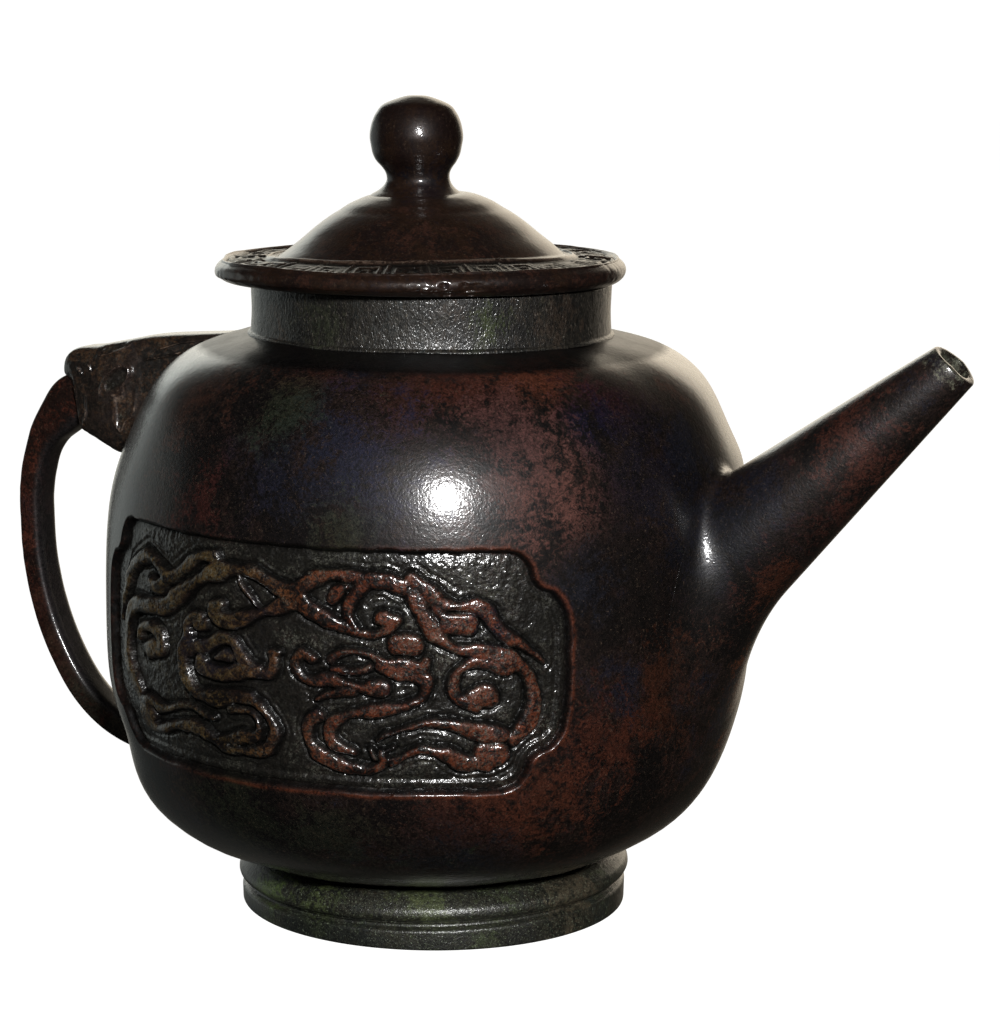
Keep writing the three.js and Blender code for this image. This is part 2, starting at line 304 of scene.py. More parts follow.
def place(obj: Thing, body: Body, slot: Slot, material: Material, *nodes: str) -> None:
    """Dresses a finished piece and lets it ride on its body.

    Args:
        obj: The piece.
        body: The body that it rides on.
        slot: Its material slot in the record; not used.
        material: Its finish.
        nodes: The frame's nodes that it stands for.
    """
    obj.data.materials.clear()
    obj.data.materials.append(material)
    if nodes:
        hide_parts(*nodes)
    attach(obj, body.value)
    LOG.info("%s: %d faces on %s", obj.name, len(obj.data.polygons), body.value)


# Finishes

def linear(code: str) -> tuple[float, float, float, float]:
    """Returns an sRGB hex colour as linear RGBA."""
    parts = [int(code[i:i + 2], 16) / 255 for i in (1, 3, 5)]
    return (*[p / 12.92 if p <= 0.04045 else ((p + 0.055) / 1.055) ** 2.4 for p in parts], 1.0)


def add(tree: Tree, kind: str, links: dict | None = None, **settings) -> bpy.types.Node:
    """Adds a node with its settings and links.

    Args:
        tree: The node tree.
        kind: The node's type name.
        links: Input name or number to the output socket or value that feeds it.
        settings: The node's own properties.

    Returns:
        The node.
    """
    node = tree.nodes.new(kind)
    for key, value in settings.items():
        setattr(node, key, value)
    for key, value in (links or {}).items():
        if isinstance(value, Socket):
            tree.links.new(value, node.inputs[key])
        else:
            node.inputs[key].default_value = value
    return node


@dataclass(frozen=True)
class StainOrShade:
    """A patch of the patina, or of painted shade: where its middle is from the pot's axis, its reach, colour
    and strength.
    """

    place: Point
    reach: float
    colour: str
    share: float = 0.8


@dataclass
class Mixer:
    """Mixes values and colours in one node tree, over one set of places."""

    tree: Tree
    place_in: Socket
    grit: Socket | None = None

    def noise(self, size: float, detail: float, rough: float, shift: float, bend: float = 0.0) -> Socket:
        """Adds noise.

        Args:
            size: How wide its blotches are, in millimetres.
            detail, rough: How many finer layers it has, and how strong they are.
            shift: Moves the pattern, so that two of one size differ.
            bend: Pulls the blotches into wisps.

        Returns:
            Values about 0.5.
        """
        moved = add(self.tree, "ShaderNodeVectorMath", {0: self.place_in, 1: (shift,) * 3}).outputs[0]
        return add(self.tree, "ShaderNodeTexNoise", {
            "Vector": moved, "Scale": 1 / (size * MM), "Detail": detail, "Roughness": rough,
            "Distortion": bend}).outputs["Fac"]

    def between(self, value: Socket, low: float, high: float, top: float = 1) -> Socket:
        """Returns value stretched so that low gives 0 and high gives top."""
        ends = {"Value": value, 1: low, 2: high, 3: 0, 4: top}
        return add(self.tree, "ShaderNodeMapRange", ends).outputs[0]

    def ramp(self, value: Socket, low: float, high: float, first: float, last: float) -> Socket:
        """Returns value turned smoothly from first at low into last at high."""
        return add(self.tree, "ShaderNodeMapRange", {"Value": value, 1: low, 2: high, 3: first, 4: last},
                   interpolation_type="SMOOTHSTEP").outputs[0]

    def maths(self, operation: str, *values: Socket | float) -> Socket:
        """Returns the result of a plain sum on values."""
        return add(self.tree, "ShaderNodeMath", dict(enumerate(values)), operation=operation).outputs[0]

    def times(self, first: Socket, second: Socket | float) -> Socket:
        """Returns the product of two values."""
        return self.maths("MULTIPLY", first, second)

    def blend(self, share: Socket, under: Socket | tuple, over: Socket | tuple) -> Socket:
        """Returns the colour under, covered by over where share is 1."""
        return add(self.tree, "ShaderNodeMix", {0: share, 6: under, 7: over}, data_type="RGBA").outputs[2]

    def broken(self, value: Socket, low: float, high: float, top: float = 1, grit: float = 0.6) -> Socket:
        """Returns value stretched as in between, with its border broken up into grains."""
        shaken = self.maths("MULTIPLY_ADD", self.grit, grit, value)
        return self.between(shaken, low + grit / 2, high + grit / 2, top)

    def attribute(self, name: str) -> Socket:
        """Returns a number stored on the mesh."""
        return add(self.tree, "ShaderNodeAttribute", attribute_name=name).outputs["Fac"]

    def along(self, way: Socket, direction: Vector) -> Socket:
        """Returns how far way points along direction, as a cosine."""
        return add(self.tree, "ShaderNodeVectorMath", {0: way, 1: tuple(direction)},
                   operation="DOT_PRODUCT").outputs["Value"]


@dataclass(frozen=True)
class Patina:
    """Cast bronze with a patina: a dark mineral skin, waxed by handling, mottled and finely pitted.

    The skin is mostly non-metal, so it gives a dark face with pale grazing reflections, and a thin polished
    layer over it gives the small sharp lights. Sizes are in millimetres. The grain is drawn coarser than real
    casting grain, so that it shows in the broken edge of a highlight.
    """

    name: str
    base: str
    dark: str
    warm: str
    cool: str
    moss: str = "#23281a"
    speck: str = "#544639"
    # Pale specks on a relief's ground: partly dust, partly painted glints.
    dust_and_glint: str = "#55554c"
    ground: str = "#181714"
    shadow: str = "#050505"
    # Near black for the band of painted shade under the neck, over some dark patina.
    neck_shade_and_patina: str = "#0a0909"
    shaded: str = "#1b1a1b"
    worn: tuple[str, str] = ("#48391f", "#582a17")
    warm_share: float = 0.5
    moss_share: float = 0.25
    speck_share: float = 0.35
    metallic: float = 0.2
    roughness: float = 0.5
    polish: float = 0.95
    polish_rough: float = 0.17
    glint: float = 0.25
    mottle_mm: float = 18
    stipple_mm: float = 1.15
    grain_mm: float = 0.45
    grain_rise: float = 0.028
    ground_mm: float = 0.6
    ground_rise: float = 0.13
    wisp_mm: float = 0.9
    streaks: bool = False
    relief: bool = False
    # Whether a strap's inner face, marked by its inner attribute, gets painted shade.
    faces: bool = False
    # Lowest and highest z of the band of painted shade under the neck.
    collar: Pair | None = None
    fleck: float = 1.2
    stains_and_shade: tuple[StainOrShade, ...] = ()

    def lay_stains_and_shade(self, mix: Mixer, colour: Socket, place_at: Socket, clouds: Socket) -> Socket:
        """Lays the stains, and the patches of painted shade, over a colour.

        Args:
            mix: The finish's mixer.
            colour: The colour so far.
            place_at: The places that the patches are measured from.
            clouds: The noise that gives them their ragged outline.

        Returns:
            The colour with its stains and painted shade.
        """
        for stain_or_shade in self.stains_and_shade:
            away = add(mix.tree, "ShaderNodeVectorMath", {
                0: place_at, 1: tuple((POT_AXIS + Vector(stain_or_shade.place)) * MM)}, operation="DISTANCE")
            near = mix.between(away.outputs["Value"], stain_or_shade.reach * 1.1 * MM, stain_or_shade.reach * 0.2 * MM, 0.62)
            wisps = mix.maths("MULTIPLY_ADD", clouds, 3.0, near)
            share = mix.times(mix.broken(wisps, 1.74, 2.14, stain_or_shade.share, 2.6), mix.between(near, 0, 0.1))
            colour = mix.blend(share, colour, linear(stain_or_shade.colour))
        return colour

    def carved(self, mix: Mixer, colour: Socket, clouds: Socket,
               grain: Socket) -> tuple[Socket, Socket, Socket]:
        """Darkens the sunken ground of a relief, paints shade on its walls and round the feet of its ridges,
        and rubs its ridges.

        Args:
            mix: The finish's mixer.
            colour: The colour so far.
            clouds, grain: The noises that break up the rubbing and the pale specks, partly dust and partly
                painted glints.

        Returns:
            The colour, the polish and the share of sunken ground.
        """
        rise, sunk, shade = mix.attribute("rise"), mix.attribute("sunk"), mix.attribute("shade")
        ridge_colour = mix.blend(mix.attribute("side"), linear(self.worn[0]), linear(self.worn[1]))
        colour = mix.blend(mix.times(sunk, mix.between(rise, 0.7, 0.0, 0.8)), colour, linear(self.ground))
        rubbing = mix.broken(clouds, 0.43, 0.62, 0.9, 1.4)
        colour = mix.blend(mix.times(mix.between(rise, 0.62, 0.98), rubbing), colour, ridge_colour)
        border = mix.times(mix.attribute("rubbed"), mix.broken(clouds, 0.36, 0.5, 0.6))
        colour = mix.blend(border, colour, linear(self.worn[1]))
        # Pale specks on the sunken ground: partly dust, partly painted glints.
        dust_and_glint_share = mix.times(mix.between(grain, 0.5, 0.6, 0.6), mix.between(clouds, 0.46, 0.6))
        colour = mix.blend(mix.times(sunk, dust_and_glint_share), colour, linear(self.dust_and_glint))
        # Painted shade: the recess walls and the feet of the ridges go near black.
        colour = mix.blend(mix.times(shade, 0.85), colour, linear(self.shadow))
        return colour, mix.between(shade, 1.1, 0, self.polish), sunk

    def bumped(self, mix: Mixer, sunk: Socket | None) -> Socket:
        """Raises the casting's grain, from a soft peel to fine grit.

        Args:
            mix: The finish's mixer.
            sunk: The share of sunken ground, which is rougher, on a relief.

        Returns:
            The bumped normal.
        """
        layers = [(mix.noise(self.grain_mm * 9, 2, 0.5, 0.37), 1, self.grain_rise),
                  (mix.noise(1.1, 1, 0.5, 0.71, 0.6), 1, self.grain_rise * 0.9),
                  (mix.noise(self.grain_mm, 1, 0.5, 0.91, 0.6), 1, self.grain_rise)]
        if sunk is not None:
            layers.append((mix.noise(self.ground_mm, 1, 0.6, 0.53), sunk, self.ground_rise))
        normal = {}
        for height, strength, rise in layers:
            node = add(mix.tree, "ShaderNodeBump", {
                "Height": height, "Strength": strength, "Distance": rise * MM, **normal})
            normal = {"Normal": node.outputs[0]}
        return normal["Normal"]

    def build(self) -> Material:
        """Returns the finish as a node material."""
        material = bpy.data.materials.new(self.name)
        material.use_nodes = True
        tree = material.node_tree
        tree.nodes.clear()
        plain_place = add(tree, "ShaderNodeTexCoord").outputs["Object"]
        place_in = plain_place
        if self.streaks:
            place_in = add(tree, "ShaderNodeMapping", {"Vector": place_in, "Scale": (1, 1, 0.55)}).outputs[0]
        mix = Mixer(tree, place_in)
        stipple = mix.grit = mix.noise(self.stipple_mm, 6, 0.78, 0.43, 0.9)
        mottle = mix.noise(self.mottle_mm, 8, 0.7, 0.011, 0.3)
        clouds = mix.noise(self.mottle_mm * 0.45, 9, 0.74, 0.27, 0.7)
        grain = mix.noise(self.grain_mm, 3, 0.65, 0.61, 0.8)
        moss = mix.noise(self.mottle_mm * 0.7, 8, 0.75, 0.83, 0.4)
        colour = mix.blend(mix.broken(mottle, 0.44, 0.56), linear(self.dark), linear(self.base))
        colour = mix.blend(mix.broken(mottle, 0.56, 0.63, 0.75), colour, linear(self.cool))
        warm_to = 0.7 - 0.3 * self.warm_share
        warm = mix.broken(clouds, warm_to - 0.05, warm_to + 0.05, 0.8, 0.9)
        colour = mix.blend(warm, colour, linear(self.warm))
        colour = self.lay_stains_and_shade(mix, colour, plain_place, clouds)
        moss_to = 0.74 - 0.3 * self.moss_share
        moss = mix.broken(moss, moss_to - 0.03, moss_to + 0.05, 0.75, 0.5)
        colour = mix.blend(moss, colour, linear(self.moss))
        colour = mix.blend(mix.between(grain, 0.6, 0.68, self.speck_share), colour, linear(self.speck))
        colour = mix.blend(mix.between(stipple, 0.42, 0.34, 0.6), colour, linear(self.dark))
        gloss, glint, sunk = self.polish, self.glint, None
        # Painted shade under the neck's overhang, over some dark patina: a near-black band round the body,
        # with its gloss cut.
        if self.collar:
            height = add(tree, "ShaderNodeSeparateXYZ", {0: plain_place}).outputs[2]
            ragged = mix.maths("MULTIPLY_ADD", stipple, 1.2 * MM, height)
            band = mix.between(ragged, self.collar[0] * MM, self.collar[1] * MM, 0.92)
            colour = mix.blend(band, colour, linear(self.neck_shade_and_patina))
            gloss, glint = mix.between(band, 1.3, 0, self.polish), mix.between(band, 1.2, 0, self.glint)
        if self.faces:
            # Painted shade on the strap's inner face, the one turned towards the body.
            colour = mix.blend(mix.times(mix.attribute("inner"), 0.85), colour, linear(self.shaded))
        if self.relief:
            colour, gloss, sunk = self.carved(mix, colour, clouds, grain)
        wisps = mix.between(mix.noise(self.wisp_mm, 4, 0.75, 0.19, 1.8), 0.4, 0.6, self.fleck)
        wisps = mix.maths("ADD", wisps, 1 - self.fleck / 2)
        colour = add(tree, "ShaderNodeVectorMath", {0: colour, "Scale": wisps}, operation="SCALE").outputs[0]
        rough = mix.maths("ADD", mix.between(clouds, 0.3, 0.7, 0.12), self.roughness - 0.06)
        normal = self.bumped(mix, sunk)
        shader = add(tree, "ShaderNodeBsdfPrincipled", {
            "Base Color": colour, "Roughness": rough, "Metallic": self.metallic, "Normal": normal,
            "Specular IOR Level": glint, "Coat Weight": gloss, "Coat Roughness": self.polish_rough,
            "Coat Normal": normal})
        add(tree, "ShaderNodeOutputMaterial", {"Surface": shader.outputs[0]})
        return material


def stains_and_shade(*rows: tuple) -> tuple[StainOrShade, ...]:
    """Returns a stain or a patch of painted shade for each row of place, reach, colour and, where it isn't
    the usual one, strength.
    """
    return tuple(StainOrShade(*row) for row in rows)


# Brown and red patches where the body is handled, blue-black and green ones between, the spout's own, and
# three near-black patches of painted shade just under the neck.
BODY_STAINS_AND_SHADE = stains_and_shade(
    ((17, -49, 109), 13, "#301c15"), ((26, -42, 111), 11, "#3a1d15"), ((37, -30, 112), 15, "#4c281b"),
    ((18, -52, 104), 10, "#2e1a15"), ((47, -25, 108), 11, "#261115"), ((47, -31, 104), 10, "#0f1022"),
    ((43, -43, 94), 18, "#4e312b", 0.85), ((36, -45, 102), 15, "#3c2624"), ((29, -53, 92), 13, "#2c211e"),
    ((13, -58, 97), 20, "#131526"), ((0, -60, 96), 17, "#12131c"), ((-4, -55, 105), 10, "#20261a", 0.6),
    ((11, -62, 86), 10, "#232416", 0.7), ((-20, -59, 89), 10, "#2e1512"),
    ((-28, -48, 107), 15, "#2c1c16", 0.6), ((56, -23, 95), 18, "#110e15", 0.9),
    ((55, -33, 72), 18, "#0f0c0b", 0.9), ((50, -39, 76), 9, "#14151c"),
    ((59, -24, 53), 14, "#2e170d"), ((52, -36, 45), 15, "#371a11"), ((32, -50, 30), 14, "#2f1812"),
    ((43, -44, 35), 17, "#3f2015"), ((28, -46, 22), 14, "#0f1317", 0.9), ((-13, -58, 30), 16, "#1b1e15"),
    ((6, -55, 24), 16, "#171b14"), ((62, 8, 50), 16, "#5a2e14", 0.85), ((66, -12, 84), 18, "#0b0c14", 0.9),
    ((62, -11, 96), 13, "#0e0f17", 0.9), ((91, -5, 99), 13, "#3f2018", 0.7), ((83, -3, 84), 12, "#301712"),
    # The near-black patches at height 115, at the end of this line and on the next, are painted shade under
    # the neck.
    ((76, -4, 72), 11, "#3a1c10"), ((107, 0, 115), 6, "#5c5e50", 0.9), ((14, -31, 115), 7, "#0b0a0a", 0.9),
    ((27, -20, 115), 7, "#0b0a0a", 0.9), ((0, -35, 115), 7, "#0b0a0a", 0.9),
)
# Cast bronze, scraped smooth and waxed: near black with warm and cool clouds, and a round light with a halo.
BODY_SKIN = Patina("cast_bronze_dark", "#1e1512", "#0d0a0a", "#321c15", "#13151f", stains_and_shade=BODY_STAINS_AND_SHADE,
                   warm_share=0.35, moss_share=0.15, roughness=0.44)
# The same, with a near-black band of painted shade under the neck's overhang, over some dark patina.
SHELL_SKIN = replace(BODY_SKIN, name="cast_bronze_shell", collar=(112.9, 113.7))
# The same, chased: a dull ground flecked pale, partly with dust and partly with painted glints, and ridges
# rubbed olive on the left and red on the right.
PANEL_SKIN = replace(BODY_SKIN, name="cast_bronze_relief", relief=True, fleck=1.0)
# The same, with coarser grain, which breaks the light along the spout's root into grains.
SPOUT_SKIN = replace(BODY_SKIN, name="cast_bronze_spout", glint=0.5, grain_rise=0.042)
# Cast bronze left matt and gone green: a soft broken sheen over grey-green with mossy patches.
GREEN_SKIN = Patina("cast_bronze_green", "#2b2a21", "#151612", "#3a2c1e", "#1c2121", moss="#363d26",
                    speck="#949f86", speck_share=0.55, moss_share=0.55, warm_share=0.3, roughness=0.5,
                    polish=0.75, polish_rough=0.28, glint=0.45, grain_mm=0.33, grain_rise=0.085,
                    stains_and_shade=stains_and_shade(
                        ((-20, -32, 8), 10, "#4b5c2e", 0.85), ((-6, -38, 8), 8, "#454f2d", 0.8),
                        ((16, -35, 8), 9, "#464e2e", 0.7), ((2, -38, -1), 12, "#171a18", 0.9),
                        ((-13, -36, -1), 9, "#171a18", 0.9), ((17, -35, -1), 9, "#191a18", 0.9),
                        ((-24, -30, 0), 8, "#1d2522", 0.8), ((30, -24, 0), 12, "#1c1c1b", 0.8),
                        ((36, -14, 8), 10, "#4a4234", 0.7)))
# The same on the neck, worn darker, with a hammered sparkle drawn out upright.
NECK_SKIN = replace(GREEN_SKIN, name="cast_bronze_neck", base="#221f1a", dark="#141311", warm="#31271f",
                    moss="#24271c", speck="#7c7468", speck_share=0.35, moss_share=0.45, streaks=True,
                    polish_rough=0.2, grain_rise=0.13, stains_and_shade=stains_and_shade(
                        ((25, -26, 121), 5, "#333d1a", 0.6), ((-6, -35, 120), 7, "#252a1c", 0.6),
                        ((33, -12, 121), 7, "#30261e", 0.6), ((-33, -14, 120), 6, "#3c2a22", 0.6)))
# Bronze bar, forged and polished by the hand: reddish brown on its flanks, black where no finger rubs, with
# painted shade on its inner face towards the body.
HANDLED_SKIN = Patina("handled_bronze", "#2c1711", "#180e0b", "#401f15", "#1e161a", warm_share=0.45,
                      faces=True, moss_share=0.02, roughness=0.45, grain_rise=0.025, polish=0.7,
                      polish_rough=0.14, stains_and_shade=stains_and_shade(
                          ((-71, 0, 30), 24, "#211f19", 0.95), ((-86, 0, 47), 12, "#2a1c15", 0.8)))
# Cast and chased bronze: dull dark brown hollows under paler rubbed ridges.
HEAD_SKIN = Patina("chased_bronze", "#2c211c", "#15110f", "#46301f", "#211f22", warm_share=0.4, relief=True,
                   worn=("#66584d", "#66584d"), moss_share=0.05, fleck=1.0)
# Turned bronze, polished: an even dark brown with small sharp lights.
LID_SKIN = Patina("turned_bronze", "#24170f", "#18100e", "#321e17", "#181418", warm_share=0.4, relief=True,
                  worn=("#5a4b40", "#5a4b40"), moss_share=0.03, roughness=0.42, polish=0.62,
                  polish_rough=0.115, fleck=0.6, grain_rise=0.025, stains_and_shade=stains_and_shade(
                      ((-37.1, -16.9, 128), 9, "#848c80", 0.95), ((36, 17, 128), 6, "#4b3a30"),
                      ((0, 0, 153), 16, "#120908", 0.95), ((0, 0, 145.5), 9, "#0e0e13", 0.9)))
# Turned bronze that nobody polishes: dull and dark.
INNER_SKIN = Patina("dull_bronze", "#221c17", "#121010", "#2c1f18", "#1b1c1c", roughness=0.65, polish=0.1,
                    polish_rough=0.4)


# Relief drawing

@dataclass(frozen=True)
class Stroke:
    """One ridge of the relief: places across and up from the panel's centre, with half-widths, in mm."""

    points: tuple[Point, ...]
    smooth: bool = True

    def segments(self) -> np.ndarray:
        """Returns the ridge's middle line as rows of across, up and half-width."""
        places = np.array(self.points, dtype=float)
        if len(places) == 1:
            return np.repeat(places, 2, axis=0)
        return catmull(places, 6) if self.smooth else places


def along_run(u: np.ndarray, v: np.ndarray, start: np.ndarray,
              end: np.ndarray) -> tuple[np.ndarray, np.ndarray]:
    """Measures places against a straight run.

    Args:
        u, v: The places.
        start, end: The run's ends.

    Returns:
        How far along the run each place lies, from 0 to 1, and its distance from the run.
    """
    run_u, run_v = end[0] - start[0], end[1] - start[1]
    square = run_u ** 2 + run_v ** 2
    t = np.clip(((u - start[0]) * run_u + (v - start[1]) * run_v) / square, 0, 1) if square > 0 else 0 * u
    return t, np.hypot(u - start[0] - t * run_u, v - start[1] - t * run_v)


def ridge_distance(across: np.ndarray, up: np.ndarray, strokes: Iterable[Stroke],
                   pad: float = 3.0) -> np.ndarray:
    """Measures places against ridges, in millimetres.

    Args:
        across, up: The places.
        strokes: The ridges.
        pad: The distance past which all places count as far.

    Returns:
        How far each place is outside the nearest ridge's edge, negative inside.
    """
    best = np.full(across.shape, pad)
    for stroke in strokes:
        middle_line = stroke.segments()
        for start, end in zip(middle_line[:-1], middle_line[1:]):
            reach = pad + max(start[2], end[2])
            low_u, high_u = min(start[0], end[0]) - reach, max(start[0], end[0]) + reach
            low_v, high_v = min(start[1], end[1]) - reach, max(start[1], end[1]) + reach
            near = (across > low_u) & (across < high_u) & (up > low_v) & (up < high_v)
            if not near.any():
                continue
            t, gone = along_run(across[near], up[near], start, end)
            best[near] = np.minimum(best[near], gone - (start[2] + t * (end[2] - start[2])))
    return best


def line(width: float, *places: Pair, end: float | None = None) -> Stroke:
    """Draws a ridge.

    Args:
        width: Its half-width at the start.
        places: Its middle line.
        end: Its half-width at the end, where it narrows or swells.

    Returns:
        The ridge.
    """
    last = width if end is None else end
    steps = max(1, len(places) - 1)
    return Stroke(tuple((u, v, width + (last - width) * i / steps) for i, (u, v) in enumerate(places)))


# The two beasts of the panel: each is a head, a looped neck, a scrolled body and a tail.
RIGHT_BEAST = (
    line(1.0, (5.8, 2.3), (4.2, 3.0), (2.8, 2.0), (2.6, 0.2), (4.0, -1.6), (6.5, -2.2), (9, -1.6), (11, -1.9),
         (13.5, -2.4), (16, -3.0), (18, -3.2)),
    Stroke(((16.9, -2.7, 1.5), (19.3, -3.0, 1.3))),
    line(0.6, (6.9, -5.3), (9, -4.3), (11.3, -3.8), (13.5, -3.6), end=1.0),
    Stroke(((9.8, 0.3, 0.4), (12, 0.5, 1.0), (14.5, 0.7, 0.9), (16.8, 1.3, 0.4))),
    line(0.9, (9.6, 2.2), (11, 3.4), (13.7, 4.0), (16.3, 3.4), (18.7, 2.6), (21, 2.0), (23.5, 1.6)),
    Stroke(((19, 1.7, 0.9), (21.5, 0.9, 1.6), (24, 0.8, 1.5), (26.3, 1.4, 1.0), (27.2, 2.6, 0.6))),
    line(1.2, (24, 0.6), (26.3, -0.4), (27.4, -2.0), (27.0, -3.8), (25.5, -5.0), (23.3, -5.9), (20.2, -6.6),
         (17.1, -7.1), (14.4, -7.6), (11.7, -8.5), (9.9, -9.7), (9.3, -11.3), (10.0, -13.2), (11.7, -14.6),
         (13.9, -15.2), end=0.9),
    line(1.1, (7.1, -8.1), (5.3, -9.2), (4.7, -11.5), (5.3, -13.8), (7.1, -15.8), (9.8, -17.2), (12.9, -18.1),
         (16, -18.3), (18.3, -17.5), (19.2, -16.2), (18.6, -15.0)),
    line(0.6, (17.0, -14.4), (17.6, -16.0)), line(0.6, (18.6, -15.0), (21.2, -13.8)),
    line(0.6, (19.2, -16.2), (22.0, -15.4)),
    line(0.5, (17.9, -12.7), (21, -11.1), (24, -9.9), (27.1, -9.0), (30.2, -9.1), (33.3, -9.9), (36.3, -10.9),
         (39.4, -11.4), (41.2, -11.6), end=1.5),
    line(0.9, (20.9, -16.6), (23, -15.1), (25.6, -14.3), (28.7, -14.3), (31.3, -15.2), (33.3, -16.6),
         (35.6, -17.3), (38.3, -17.2), end=1.4),
    Stroke(((38.6, -15.4, 2.2), (40.4, -15.0, 2.3))),
    line(1.2, (24.9, 14.6), (25.9, 12.8), (27.2, 10.3), (28.8, 7.7), (30.8, 5.8), (33.2, 4.8), (36.3, 4.3),
         (40.2, 3.4), (43.3, 2.0), (45.6, 0), (46.9, -2.6), (47.2, -5.4), (46.7, -7.9), (45.4, -10.4),
         (43.6, -12.6), end=1.7),
    line(0.8, (42.2, 0.6), (38.8, 2.1), (35.2, 2.3), (32.8, 0.8), (32.1, -2.0), (33.2, -4.5), (35.8, -5.5),
         end=1.3),
    Stroke(((35.8, -4.2, 1.6), (37.8, -4.1, 2.2), (39.6, -5.0, 1.4))),
    Stroke(((24.2, 18.0, 0.8), (27.1, 15.3, 1.3), (29.8, 13.6, 1.6), (32.5, 13.0, 1.3), (35.6, 12.6, 1.3),
            (37.9, 11.6, 1.4), (39.5, 9.8, 1.5), (41.1, 7.7, 1.4), (43.4, 5.9, 1.2), (46.3, 3.9, 0.9),
            (48.6, 1.6, 0.6))),
    Stroke(((29.4, 12.4, 0.8), (30.4, 10.8, 1.1))),
    Stroke(((31.6, 9.6, 2.1), (34.6, 9.4, 2.1))),
    Stroke(((21.8, 5.5, 2.0), (24.6, 5.5, 2.0))),
)
CROSSING = (
    line(1.2, (22.8, 16.2), (19.4, 17.0), (16, 16.9), (13.3, 17.6), (10.4, 18.0), (7.2, 17.3), (4.6, 15.8),
         (3.0, 13.8), (0.8, 12.0), (-2.2, 10.7), (-5.4, 9.2), (-9.8, 7.4), (-13.0, 7.1), (-15.4, 8.0),
         (-15.9, 9.5), end=1.1),
    Stroke(((-15.6, 9.4, 1.1), (-13.9, 9.9, 0.9))),
    line(1.1, (-13.7, 16.8), (-10.2, 17.4), (-7.4, 17.3), (-4.6, 16.3), (-2.1, 15.2), (0.6, 14.4),
         (3.0, 13.2), (5.2, 11.3), (8.6, 9.7), (11.8, 8.4), (14.8, 7.5), (17.4, 7.1), (19.8, 8.0),
         (21.3, 9.8), end=1.3),
    Stroke(((20.9, 9.8, 1.6), (19.0, 10.4, 1.9))),
    line(1.2, (16.4, 16.8), (14.5, 15.0), (13.1, 12.7), (12.9, 10.4), (14.3, 8.4)),
    Stroke(((9.6, 13.6, 0.5), (10.6, 14.6, 1.1), (12.3, 15.4, 0.5))),
    Stroke(((-9.6, 17.0, 0.4), (-8.6, 14.4, 0.5), (-6.5, 12.2, 0.5), (-5.0, 10.4, 0.6))),
    Stroke(((2.4, 13.4, 2.3),)),
)
